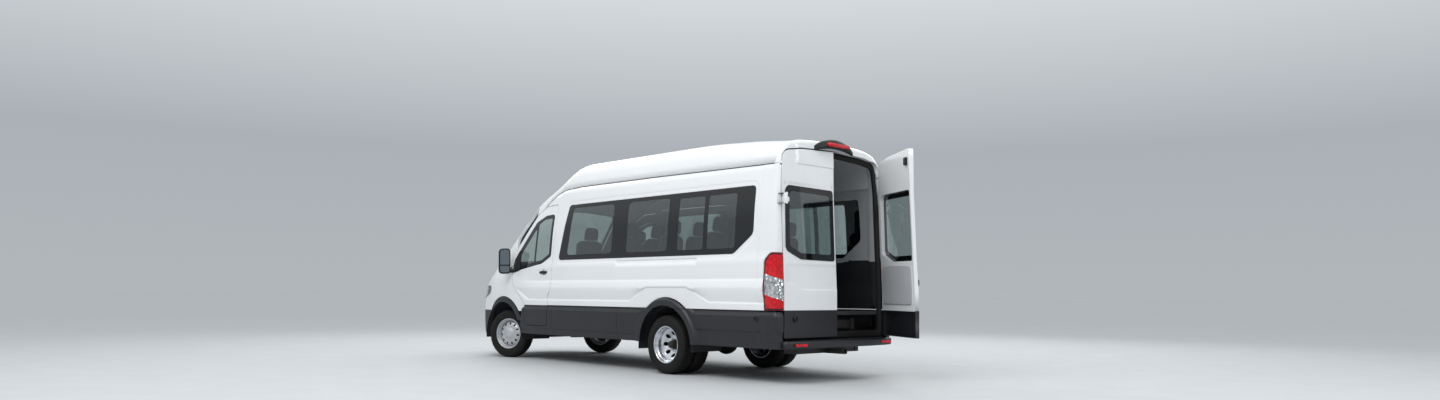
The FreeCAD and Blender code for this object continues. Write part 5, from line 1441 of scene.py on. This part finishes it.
bowl_lines = [ringed(l) for a, u, r in BOWLS for l in (circle(a, u, r, 30), circle(a, u, r * 0.6, 20))]
for sign, side in SIDES:
    cover = pane("headlamp_cover_" + side, None, "body", nose_rays, sign, lamp_loop, [moved(lamp_loop, -0.010)],
                 clear_acrylic, sunk=0.0, step=0.03)
    bowls = pressed_panel("headlamp_bowls_" + side, nose_rays, sign, moved(lamp_loop, -0.004),
                          [black_plastic, silvered], (), bowl_lines, 0.02, 0.05, sunk=0.022, pressing=bowl_relief,
                          mark=bowl_zone)
    fitted(bowls, "black_plastic", "body")
    if sign > 0:
        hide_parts("headlamps")

# Mirrors. A black moulded housing on a short arm, with a tall flat glass above a small wide-angle one; the
# foot is a black corner plate in the door's window frame, carried on ahead by a plate at the screen's foot.
# Silvered glass: a slightly grey mirror.
mirror_silver = shaded("silvered_float_glass", "#858D94", "#8E969C", (15.0, 3.0),
                       {"Roughness": 0.02, "Metallic": 1.0})
HOUSING = ((-0.095, 1.232, 0.040), (0.075, 1.226, 0.055), (0.083, 1.600, 0.055), (-0.085, 1.606, 0.050))
TALL_GLASS = ((-0.078, 1.362, 0.012), (0.064, 1.360, 0.012), (0.070, 1.585, 0.042), (-0.070, 1.590, 0.038))
WIDE_GLASS = ((-0.078, 1.250, 0.030), (0.060, 1.244, 0.040), (0.064, 1.346, 0.012), (-0.078, 1.348, 0.012))
HEAD_PLACE, HEAD_TURN = (-0.232, 1.150), math.radians(17)
SAIL = ((-0.440, 1.275, 0.01), (-0.258, 1.245, 0.015), (-0.236, 1.34, 0.02), (-0.264, 1.44, 0.05),
        (-0.375, 1.572, 0.02), (-0.425, 1.575, 0.02), (-0.432, 1.38, 0.02))
SCREEN_CORNER = ((-0.198, 1.258, 0.006), (-0.035, 1.236, 0.012), (-0.100, 1.290, 0.04), (-0.196, 1.352, 0.01))
for sign, side in SIDES:
    back = (-math.cos(HEAD_TURN), sign * math.sin(HEAD_TURN))
    head = ((HEAD_PLACE[0], sign * HEAD_PLACE[1], 0), (math.sin(HEAD_TURN), sign * math.cos(HEAD_TURN), 0), (0, 0, 1))
    shell = stacked(rounded(HOUSING), ((0.012, -0.012), (0.0, -0.010), (-0.002, -0.004), (0.006, 0.0), (0.036, -0.001),
                                       (0.064, -0.014), (0.081, -0.034), (0.088, -0.060)),
                    *head, (-back[0], -back[1], 0))
    glasses = [stacked(rounded(g), ((-0.0035, -0.002), (-0.0055, 0.0), (-0.010, 0.0)), *head, (back[0], back[1], 0))
               + (1,) for g in (TALL_GLASS, WIDE_GLASS)]
    arm = rod([(-0.268, sign * 0.985, 1.285), (-0.242, sign * 1.02, 1.280), (-0.218, sign * 1.06, 1.280),
               (-0.205, sign * 1.10, 1.285)], (0.040, 0.034, 0.032, 0.032), 16)
    mirror = joined("door_mirror_" + side, [shell, arm] + glasses, [black_plastic, mirror_silver], 40)
    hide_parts("mirror_" + side)
    sail = pressed_panel("mirror_sail_" + side, side_rays, sign, rounded(SAIL), [black_plastic], (), (), 0.03, 0.012,
                         sunk=-0.006, pressing=None)
    for piece in (mirror, sail):
        fitted(piece, "black_plastic", "front_door_" + side)
    corner = pressed_panel("screen_corner_plate_" + side, side_rays, sign, rounded(SCREEN_CORNER), [black_plastic], (),
                           (), 0.03, 0.010, sunk=-0.003, pressing=None)
    fitted(corner, "black_plastic", "body")

# Handles and locks. Black moulded pull handles that bridge their pressed cups, each with a round lock below.
HANDLE = ((-0.092, -0.014, 0.012), (-0.035, -0.020, 0.03), (0.035, -0.020, 0.03), (0.092, -0.014, 0.012),
          (0.092, 0.014, 0.012), (0.035, 0.020, 0.03), (-0.035, 0.020, 0.03), (-0.092, 0.014, 0.012))
for name, x, sign, body in (("front_door_handle_left", HANDLE_X, 1, "front_door_left"),
                            ("front_door_handle_right", HANDLE_X, -1, "front_door_right"),
                            ("sliding_door_handle", -1.50, -1, "body")):
    spot, normal = on_skin(side_rays, [(x, HANDLE_UP)], sign)
    up = np.cross(normal[0], (1.0, 0, 0)) * -sign
    frame_of = ((1, 0, 0), up / np.linalg.norm(up) * (1 if up[2] > 0 else -1), normal[0])
    bar = stacked(rounded(HANDLE, 0.02), ((0.0, -0.004), (0.004, -0.001), (0.012, 0.0), (0.018, -0.003),
                                          (0.021, -0.008)), spot[0], *frame_of)
    feet = [stacked(circle(c, 0, 0.009, 16), ((-0.018, 0.0), (0.006, 0.0)), spot[0], *frame_of)
            for c in (-0.074, 0.074)]
    low, low_normal = on_skin(side_rays, [(x, 0.99)], sign)
    lock = stacked(circle(0, 0, 0.018, 24), ((-0.02, 0.0), (0.002, 0.0), (0.004, -0.002), (0.0035, -0.006),
                                             (0.001, -0.007)), low[0] - low_normal[0] * 0.016, (1, 0, 0), (0, 0, 1),
                   low_normal[0])
    handle = joined(name, [bar] + feet + [lock], [black_plastic])
    fitted(handle, "black_plastic", body)
back, back_normal = on_skin(rear_rays, [(0.085, 1.10)], -1)
grip = box_loop(-0.075, 0.075, -0.035, 0.035, 0.012, 0.02)
lift = stacked(grip, ((-0.012, 0.0), (0.010, 0.0), (0.016, -0.006), (0.010, -0.012), (0.002, -0.014)), back[0],
               (0, 1, 0), (0, 0, 1), back_normal[0])
pull = joined("rear_door_handle", [lift], [black_plastic], place=swung_open)
fitted(pull, "black_plastic", "rear_door_right")

# Brake lamp pod. A red lens in a black moulded lens-shaped housing on the roof's rear edge, over the doors.
POD_HALF = 0.345
SHAPE = ((-0.02, 0.16), (-0.045, 0.12), (-0.058, 0.25), (-0.062, 0.45), (-0.055, 0.70), (-0.035, 0.90), (-0.005, 1.0),
         (0.06, 1.0), (0.12, 0.92), (0.13, 0.3))
stations, housing = np.linspace(-POD_HALF, POD_HALF, 45), []
for y in stations:
    share = abs(y) / POD_HALF
    fade = max(0.05, 1 - share ** 2.6) ** 0.7
    foot, top = 2.618 - 0.03 * share ** 2, 2.748 - 0.055 * share ** 1.6
    reach = (0.5 + 0.5 * fade) * (top - foot)
    housing += [(-5.535 + (along - 0.02) * fade + 0.02, y, foot + reach * up) for along, up in SHAPE]
lens = stacked(rounded(((-0.205, 2.652, 0.018), (0.205, 2.652, 0.018), (0.190, 2.696, 0.02),
                        (-0.190, 2.696, 0.02)), 0.02), ((-0.03, 0.0), (0.002, 0.0), (0.006, -0.005)),
               (-5.5945, 0, 0), (0, 1, 0), (0, 0, 1), (-1, 0, 0))
pod = joined("brake_lamp_housing", [(np.array(housing), wound(45, len(SHAPE))), lens + (1,)],
             [black_plastic, red_lens_painted_highlights], 50)
fitted(pod, "black_plastic", "body", "brake_lamp_pod")

# Rear door hinges. Forged steel, sprayed with the body: a bent leaf on the corner, a pin, and a leaf on the door.
def leaf(path, thick):
    """A bent plate's outline in plan, from its middle line."""
    path = np.array(path)
    run = np.gradient(path, axis=0)
    run /= np.linalg.norm(run, axis=1)[:, None]
    over = np.stack([-run[:, 1], run[:, 0]], 1) * thick / 2
    return np.concatenate([path + over, (path - over)[::-1]])


HINGE_UP, LEAF_THICK = 2.00, 0.006
IN_PLAN = ((1, 0, 0), (0, 1, 0), (0, 0, 1))
for sign, side in SIDES:
    corner_places, corner_normals = on_skin(side_rays, [(a, HINGE_UP) for a in (-5.61, -5.57, -5.53)])
    on_corner = (corner_places + corner_normals * 0.005)[:, :2]
    door_places, door_normals = on_skin(rear_rays, [(a, HINGE_UP) for a in (0.875, 0.83, 0.79)])
    on_door = (door_places + door_normals * 0.007)[:, :2]
    pin = np.array((HINGE_X, HINGE_OUT))
    body_leaf = leaf(np.concatenate([[pin + (0, 0.008), pin + (0.012, 0.022)], on_corner]), LEAF_THICK) * (1, sign)
    door_leaf = leaf(np.concatenate([[pin - (0, 0.008), pin + (0.010, -0.026)], on_door]), LEAF_THICK) * (1, sign)
    barrel = [rod([(HINGE_X, sign * HINGE_OUT, HINGE_UP + d) for d in span], (0.011, 0.014, 0.014, 0.011), 16)
              for span in ((-0.062, -0.059, -0.030, -0.029), (0.029, 0.030, 0.059, 0.062))]
    knuckle = rod([(HINGE_X, sign * HINGE_OUT, HINGE_UP + d) for d in (-0.0275, -0.027, 0.027, 0.0275)], 0.0142, 16)
    on_body = stacked(body_leaf, ((-0.056, -0.002), (-0.052, 0.0), (0.052, 0.0), (0.056, -0.002)), (0, 0, HINGE_UP),
                      *IN_PLAN)
    swinging = stacked(door_leaf, ((-0.026, 0), (0.026, 0)), (0, 0, HINGE_UP), *IN_PLAN)
    fixed = joined("rear_hinge_body_leaf_%s_0" % side, [on_body] + barrel, [body_paint])
    swung = joined("rear_hinge_door_leaf_%s_0" % side, [swinging, knuckle], [body_paint],
                   place=AS_SHOWN[sign])
    fitted(fixed, "white_paint", "body")
    fitted(swung, "white_paint", "rear_door_" + side)

# Sensors, reflectors and the opening's seal. Round parking sensors in the rear mouldings, red reflectors over
# the step, and a thick black rubber seal round the rear opening.
EYE = ((-0.01, 0.0), (0.014, 0.0), (0.022, -0.004), (0.025, -0.010), (0.024, -0.017), (0.017, -0.018),
       (0.017, -0.024), (0.021, -0.028))
for sign, side in SIDES:
    for name, rays, flat_spot, body, turning in (
            ("corner_sensor_" + side, side_rays, (-5.270, 0.697), "body", None),
            ("rear_sensor_" + side, rear_rays, (0.727, 0.697), "rear_door_" + side, AS_SHOWN[sign])):
        spot, normal = on_skin(rays, [flat_spot], sign)
        eye = stacked(circle(0, 0, 0.036, 32), EYE, spot[0], np.cross((0, 0, 1), normal[0]), (0, 0, 1), normal[0])
        sensor = joined(name, [eye], [black_plastic], 25, turning)
        fitted(sensor, "black_plastic", body)
    strip = stacked(box_loop(0.66, 0.84, 0.402, 0.432, 0.010, 0.02),
                    ((-0.012, 0.0), (0.003, 0.0), (0.0045, -0.002)), (REAR_X - 0.1205, 0, 0), (0, sign, 0), (0, 0, 1),
                    (-1, 0, 0))
    reflector = joined("rear_reflector_" + side, [strip], [red_lens_painted_highlights])
    fitted(reflector, "lamp_red", "body")
seal_path, seal_loop = [], moved(opening_loop, -0.004)
seal_places = on_skin(rear_rays, seal_loop)[0]
run = np.roll(seal_loop, -1, 0) - np.roll(seal_loop, 1, 0)
run /= np.linalg.norm(run, axis=1)[:, None]
middle_of = seal_loop.mean(0)
for place, along, flat in zip(seal_places, run, seal_loop):
    inward = np.array((0, -along[1], along[0]))
    if inward[1:] @ (middle_of - flat) < 0:
        inward = -inward
    seal_path.append((place, inward, (1, 0, 0)))
SEAL = ((-0.006, 0.054), (0.034, 0.052), (0.056, 0.058), (0.062, 0.066), (0.056, 0.074), (0.040, 0.077), (0.048, 0.084),
        (0.052, 0.094), (0.040, 0.104), (-0.006, 0.106))
seal = swept("rear_opening_seal", SEAL, seal_path, [rubber], closed=True)
face_outward(seal, 50)
fitted(seal, "tyre_rubber", "body")

INNER_FRAME = ((-0.004, 0.106), (0.016, 0.108), (0.022, 0.125), (0.020, 0.18), (0.006, 0.215), (-0.008, 0.216),
               (-0.006, 0.16))
inner_frame = swept("rear_opening_inner_frame", INNER_FRAME, [p for p in seal_path if p[0][2] > 0.80],
                    [trim_grey, trim_dark])
face_outward(inner_frame, 50)
for polygon in inner_frame.data.polygons:
    polygon.material_index = 1 if polygon.center.z < WAIST else 0
fitted(inner_frame, "dark_trim", "body")

# Rear door trims. A light grey moulded panel below each window inside, and the upper latch in its black box.
trim_panel = rounded(((0.075, 0.86, 0.04), (0.835, 0.86, 0.04), (0.835, 1.30, 0.06), (0.62, 1.305, 0.08),
                      (0.075, 1.29, 0.04)))
groove_lines = [ringed(moved(trim_panel, d)) for d in (-0.03, -0.045)]
for sign, side in SIDES:
    panel = pressed_panel("rear_door_trim_" + side, rear_rays, sign, trim_panel, [trim_grey], (), groove_lines, 0.05,
                          0.014, sunk=0.0505, pressing=None, place=AS_SHOWN[sign],
                          lining_mark=0)
    spot, normal = on_skin(rear_rays, [(0.075, 2.47)], sign)
    latch_box = stacked(box_loop(-0.03, 0.03, -0.045, 0.045, 0.01, 0.02),
                        ((0.048, 0.0), (0.070, 0.0), (0.076, -0.005)), spot[0], (0, 1, 0), (0, 0, 1), -normal[0])
    latch = joined("rear_door_latch_" + side, [latch_box], [black_plastic], place=AS_SHOWN[sign])
    fitted(panel, "dark_trim", "rear_door_" + side)
    fitted(latch, "black_plastic", "rear_door_" + side)

# Headliner. A light grey felted lining under the roof, from the header over the screen to the rear opening.
# Needled felt: flat and soft, with no highlight; its fibres are drawn as 4 mm tufts so that they show.
felt = shaded("light_grey_polyester_felt_needled", "#B4B4B6", "#C2C2C4", (2.0, 4.0),
              {"Roughness": 0.95, "Sheen Weight": 0.3}, (260.0, 4.0, 0.001, 0.5))
liner_loop = dense([(-5.36, -1.16), (-1.75, -1.16), (-1.45, -1.0), (-1.35, 0), (-1.45, 1.0), (-1.75, 1.16),
                    (-5.36, 1.16)], 0.08)
headliner = pressed_panel("headliner_felt", roof_rays, 1, liner_loop, [felt], (), (), 0.10, 0.012, sunk=0.070,
                          pressing=None, lining_mark=0)
fitted(headliner, "dark_trim", "body")

# Seats. Foam pads in woven cover, two in front and eight behind, each with a base pad, a back pad and a
# headrest on steel legs or a pedestal. The pads are sewn in panels, with the seams drawn in.
# Woven polyester: charcoal with a visible weave and worn patches.
seat_cloth, tree = new_material("charcoal_polyester_woven")
where = add_node(tree, "ShaderNodeTexCoord")
# threads 0.8 mm apart are too fine to show, so the weave is drawn at 4 mm
warp = add_node(tree, "ShaderNodeTexWave", {"Vector": where.outputs["Object"], "Scale": 25.0}, bands_direction="Y")
weft = add_node(tree, "ShaderNodeTexWave", {"Vector": where.outputs["Object"], "Scale": 25.0}, bands_direction="Z")
weave = add_node(tree, "ShaderNodeMath", {0: warp.outputs["Fac"], 1: weft.outputs["Fac"]}, operation="MULTIPLY")
wear = add_node(tree, "ShaderNodeTexNoise", {"Vector": where.outputs["Object"], "Scale": 7.0, "Detail": 6.0})
thread = add_node(tree, "ShaderNodeMix", {0: weave.outputs[0], 6: hex_colour("#2C2D31"), 7: hex_colour("#4A4B50")},
                  data_type="RGBA")
tone = add_node(tree, "ShaderNodeMix", {0: wear.outputs["Fac"], 6: thread.outputs[2], 7: hex_colour("#3E3F44")},
                data_type="RGBA")
bump = add_node(tree, "ShaderNodeBump", {"Height": weave.outputs[0], "Distance": 0.0012, "Strength": 0.5})
shader = add_node(tree, "ShaderNodeBsdfPrincipled", {"Base Color": tone.outputs[2], "Roughness": 0.9,
                                                     "Sheen Weight": 0.25, "Normal": bump.outputs[0]})
add_node(tree, "ShaderNodeOutputMaterial", {"Surface": shader.outputs[0]})


def stuffed(solid, most):
    """A pad swollen from a slightly smaller form: cloth under pressure, its travel capped; points and faces."""
    mesh = bpy.data.meshes.new("pad_form")
    mesh.from_pydata(solid[0].tolist(), [], solid[1])
    thing = bpy.data.objects.new("pad_form", mesh)
    bpy.context.scene.collection.objects.link(thing)
    remesh = thing.modifiers.new("remesh", "REMESH")
    remesh.mode, remesh.voxel_size = "VOXEL", 0.012
    pad_mesh = bpy.data.meshes.new_from_object(thing.evaluated_get(bpy.context.evaluated_depsgraph_get()))
    thing.modifiers.clear()
    thing.data = pad_mesh
    count = len(pad_mesh.vertices)
    rest = np.empty(count * 3)
    pad_mesh.vertices.foreach_get("co", rest)
    rest = rest.reshape(-1, 3)
    grown = rest.copy()
    cloth = thing.modifiers.new("cloth", "CLOTH")
    cloth.settings.use_pressure = True
    cloth.settings.uniform_pressure_force = 4
    cloth.settings.effector_weights.gravity = 0
    cloth.point_cache.frame_start, cloth.point_cache.frame_end = 1, 20
    for step_number in range(1, 21):
        bpy.context.scene.frame_set(step_number)
    swollen = thing.evaluated_get(bpy.context.evaluated_depsgraph_get()).to_mesh()
    flat = np.empty(count * 3)
    swollen.vertices.foreach_get("co", flat)
    travel = flat.reshape(-1, 3) - rest
    far = np.linalg.norm(travel, axis=1)[:, None]
    grown = rest + travel * np.minimum(1, most / np.maximum(far, 1e-9))
    bpy.context.scene.frame_set(1)
    faces = [tuple(p.vertices) for p in pad_mesh.polygons]
    bpy.data.objects.remove(thing)
    return grown, faces


def sewn(pad, lines, deep, face_axis, face_above):
    """Seams drawn in along lines (axis, place) on the side of the pad that shows."""
    points = pad[0].copy()
    lifted = points[:, face_axis] > face_above
    for axis, at in lines:
        pull = deep * np.exp(-((points[:, axis] - at) / 0.011) ** 2)
        points[lifted, face_axis] -= pull[lifted]
    return points, pad[1]


base_form = stacked(rounded(((-0.222, -0.200, 0.05), (0.228, -0.205, 0.06), (0.228, 0.205, 0.06),
                             (-0.222, 0.200, 0.05))),
                    ((0.0, -0.022), (0.012, -0.008), (0.05, 0.0), (0.072, 0.0), (0.090, -0.008), (0.098, -0.024)),
                    (0, 0, 0), *IN_PLAN)
back_form = stacked(rounded(((-0.200, 0.0, 0.05), (0.200, 0.0, 0.05), (0.188, 0.585, 0.09), (-0.188, 0.585, 0.09))),
                    ((-0.038, -0.020), (-0.028, -0.006), (0.0, 0.0), (0.022, -0.003), (0.034, -0.018)),
                    (0, 0, 0), (0, 1, 0), (0, 0, 1), (1, 0, 0))
head_form = stacked(rounded(((-0.120, 0.0, 0.04), (0.120, 0.0, 0.04), (0.108, 0.185, 0.06), (-0.108, 0.185, 0.06))),
                    ((-0.030, -0.020), (-0.020, -0.004), (0.010, 0.0), (0.028, -0.016)),
                    (0, 0, 0), (0, 1, 0), (0, 0, 1), (1, 0, 0))
base_pad = sewn(stuffed(base_form, 0.016), ((1, -0.135), (1, 0.135), (0, 0.165), (0, -0.16)), 0.010, 2, 0.05)
back_pad = sewn(stuffed(back_form, 0.014), ((1, -0.130), (1, 0.130), (2, 0.20), (2, 0.40)), 0.009, 0, 0.0)
head_pad = sewn(stuffed(head_form, 0.010), ((2, 0.05),), 0.005, 0, 0.0)
LEAN = math.atan2(0.100, 0.590)
upright = np.array(((math.cos(LEAN), 0, -math.sin(LEAN)), (0, 1, 0), (math.sin(LEAN), 0, math.cos(LEAN))))
ARMREST = rounded(((-0.235, 0.0, 0.02), (0.19, 0.0, 0.03), (0.20, 0.05, 0.02), (-0.20, 0.055, 0.02),
                   (-0.245, 0.085, 0.02)))
PLINTH = rounded(((-0.17, 0.772, 0.02), (0.17, 0.772, 0.02), (0.15, 1.085, 0.03), (-0.15, 1.085, 0.03)))
ON_EDGE = ((1, 0, 0), (0, 0, 1), (0, 1, 0))
seats = [("driver", -1.0, 0.44, 0.50), ("cab_passenger", -1.0, -0.44, 0.50)]
for row, (x, places) in enumerate(((-2.15, (0.61, 0.16)), (-3.0, (0.61, 0.16, -0.64)), (-3.85, (0.61, 0.16, -0.64)))):
    seats += [("row%d_seat%d" % (row + 1, k + 1), x, y, 0.43) for k, y in enumerate(places)]
for name, x, y, width in seats:
    wide = np.array((1, width / 0.43, 1))
    base = add_mesh(name + "_base_pad", base_pad[0] * wide + (x, y, 1.092), base_pad[1], [seat_cloth])
    back = add_mesh(name + "_back_pad", (back_pad[0] * wide) @ upright.T + (x - 0.268, y, 1.140), back_pad[1],
                    [seat_cloth])
    head = add_mesh(name + "_headrest_pad", head_pad[0] @ upright.T + (x - 0.388, y, 1.705), head_pad[1], [seat_cloth])
    for pad, fill_level in ((base, 0.8), (back, 0.8), (head, 0.9)):
        fitted(pad, "seat_cloth", "body")
    if name == "driver":
        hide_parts("front_seats")
    if name == "row1_seat1":
        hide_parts("passenger_seats")
    half = width / 2
    shell_loop = rounded(((-half + 0.03, 0.02, 0.05), (half - 0.03, 0.02, 0.05), (half - 0.045, 0.56, 0.08),
                          (-half + 0.045, 0.56, 0.08)))
    rear_shell = stacked(shell_loop, ((-0.052, -0.012), (-0.048, -0.003), (-0.034, 0.0)),
                         np.array((x - 0.268, y, 1.140)), (0, 1, 0), upright[:, 2], upright[:, 0])
    solids = [rear_shell]
    for s in (-1, 1):
        solids.append(rod([(x + back, y + s * 0.05, z) for back, z in ((-0.372, 1.66), (-0.380, 1.70), (-0.386, 1.73))],
                          0.006, 8) + (1,))
        solids.append(stacked(ARMREST, ((0.0, -0.004), (0.004, 0.0), (0.016, 0.0), (0.020, -0.004)),
                              (x, y + s * (half - 0.012) - 0.010, 1.062), *ON_EDGE))
        if width > 0.45:
            solids.append(stacked(PLINTH, ((0.0, -0.004), (0.004, 0.0), (0.02, 0.0), (0.024, -0.004)),
                                  (x, y + s * 0.18 - 0.012, 0), *ON_EDGE))
        else:
            for leg in (-0.15, 0.15):
                solids.append(rod([(x + leg * splay, y + s * 0.13, z) for splay, z in (
                    (1.15, 0.772), (1.1, 0.85), (1, 1.0), (1, 1.08))], 0.014, 10) + (1,))
            solids.append(rod([(x + foot, y + s * 0.13, 0.785) for foot in (-0.175, 0, 0.175)], 0.013, 10) + (1,))
    frame_piece = joined(name + "_seat_frame", solids, [trim_dark, black_iron], 40)
    fitted(frame_piece, "dark_trim", "body")

# Dashboard and steering wheel. A charcoal moulding across the cab with a hood over the dials and a screen in
# the middle, and a low-set wheel in grained cover.
dash_loop = rounded(((0.055, 0.912, 0.02), (0.055, 1.325, 0.04), (-0.115, 1.338, 0.06), (-0.215, 1.305, 0.05),
                     (-0.285, 1.230, 0.04), (-0.300, 1.080, 0.05), (-0.215, 0.912, 0.04)))
dash = [stacked(dash_loop, ((0.0, -0.014), (0.004, -0.004), (0.014, 0.0), (1.536, 0.0), (1.546, -0.004),
                            (1.550, -0.014)), (0, -0.775, 0), *ON_EDGE)]
hood = rounded(((-0.315, 1.235, 0.02), (-0.11, 1.28, 0.03), (-0.10, 1.335, 0.03), (-0.26, 1.342, 0.03),
                (-0.322, 1.300, 0.02)))
dash.append(stacked(hood, ((0.0, -0.020), (0.02, -0.004), (0.05, 0.0), (0.29, 0.0), (0.32, -0.004), (0.34, -0.020)),
                    (0, 0.27, 0), *ON_EDGE))
dash.append(stacked(box_loop(-0.105, 0.105, 0.0, 0.085, 0.01, 0.02),
                    ((0.0, 0.0), (0.010, 0.0), (0.012, -0.003)), (-0.292, 0.0, 1.215), (0, 1, 0), (0.42, 0, 0.9),
                    (-0.9, 0, 0.42)) + (1,))
for y in (-0.66, -0.17, 0.17, 0.68):
    vent = box_loop(-0.055, 0.055, 0.0, 0.07, 0.012, 0.02)
    dash.append(stacked(vent, ((-0.01, 0.0), (0.010, 0.0), (0.012, -0.003), (0.011, -0.007), (0.0, -0.009)),
                        (-0.290, y, 1.13), (0, 1, 0), (0.1, 0, 0.99), (-0.99, 0, 0.1)))
    for k in range(4):
        dash.append(rod([(-0.296, y - 0.048, 1.142 + 0.015 * k), (-0.296, y, 1.142 + 0.015 * k),
                         (-0.296, y + 0.048, 1.142 + 0.015 * k)], 0.003, 6))
dashboard = joined("dashboard_moulding", dash, [trim_dark, printed_edge], 30)
fitted(dashboard, "dark_trim", "body", "dashboard")
wheel_line = Vector((-math.sin(math.radians(35)), 0, math.cos(math.radians(35))))
wheel_up = Vector((math.cos(math.radians(35)), 0, math.sin(math.radians(35))))
wheel_place = (Vector((-0.455, 0.44, 1.270)), wheel_line, wheel_up, wheel_line.cross(wheel_up))
grip_turn = np.linspace(0, 2 * math.pi, 14, endpoint=False)
steering = turned("steering_wheel_rim", [(0.189 + 0.0145 * math.cos(t), 0.016 * math.sin(t)) for t in grip_turn],
                  wheel_place, [trim_dark], 64)
hub_path = [wheel_place[0] + wheel_line * d for d in (-0.17, -0.12, -0.06, -0.035, -0.020, -0.012)]
spokes = [rod(hub_path, (0.026, 0.028, 0.030, 0.050, 0.058, 0.050), 24)]
for angle in (90, -90, 180):
    aim = wheel_up * math.cos(math.radians(angle)) + wheel_place[3] * math.sin(math.radians(angle))
    spokes.append(rod([wheel_place[0] + aim * d + wheel_line * h for d, h in (
        (0.03, -0.024), (0.08, -0.020), (0.13, -0.010), (0.185, 0.0))], (0.020, 0.016, 0.012, 0.012), 10))
hub = joined("steering_wheel_hub", spokes, [trim_dark])
for piece in (steering, hub):
    fitted(piece, "dark_trim", "body")
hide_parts("steering_wheel")

# Underside. The chassis is sprayed with black wax, the axle and springs are painted iron, the exhaust is
# aluminised tube, the tank is moulded polyethylene and the floor inside wears ribbed vinyl.
# Sprayed wax: black with runs 17 mm wide, dusted brown.
wax = shaded("black_wax_sprayed_on_steel", "#141414", "#302D29", (3.0, 6.0), {"Roughness": 0.5},
             (60.0, 5.0, 0.002, 0.5))
# Aluminised tube: a pale metal that heat has browned in clouds.
aluminised = shaded("aluminised_steel_tube", "#5D5347", "#A19E99", (8.0, 6.0), {"Roughness": 0.5, "Metallic": 0.8})
# Calendered vinyl: dark grey, ribbed and scuffed.
vinyl, tree = new_material("dark_grey_vinyl_calendered")
where = add_node(tree, "ShaderNodeTexCoord")
# the ribs run along the bus, 12 mm apart
ribs = add_node(tree, "ShaderNodeTexWave", {"Vector": where.outputs["Object"], "Scale": 26.0}, bands_direction="Y")
scuff = add_node(tree, "ShaderNodeTexNoise", {"Vector": where.outputs["Object"], "Scale": 5.0, "Detail": 6.0})
tone = add_node(tree, "ShaderNodeMix", {0: scuff.outputs["Fac"], 6: hex_colour("#26272A"), 7: hex_colour("#3D3E41")},
                data_type="RGBA")
bump = add_node(tree, "ShaderNodeBump", {"Height": ribs.outputs["Fac"], "Distance": 0.001, "Strength": 0.4})
shader = add_node(tree, "ShaderNodeBsdfPrincipled", {"Base Color": tone.outputs[2], "Roughness": 0.6,
                                                     "Normal": bump.outputs[0]})
add_node(tree, "ShaderNodeOutputMaterial", {"Surface": shader.outputs[0]})
for node, material in (("floor_pan", vinyl), ("chassis_rails", wax), ("front_subframe", wax), ("tow_hitch", wax),
                       ("engine_block", black_iron), ("rear_axle", black_iron), ("leaf_springs", black_iron),
                       ("knuckle_left", black_iron), ("knuckle_right", black_iron), ("fuel_tank", black_plastic),
                       ("exhaust", aluminised)):
    for held in bpy.data.objects[node].material_slots:
        held.material = material
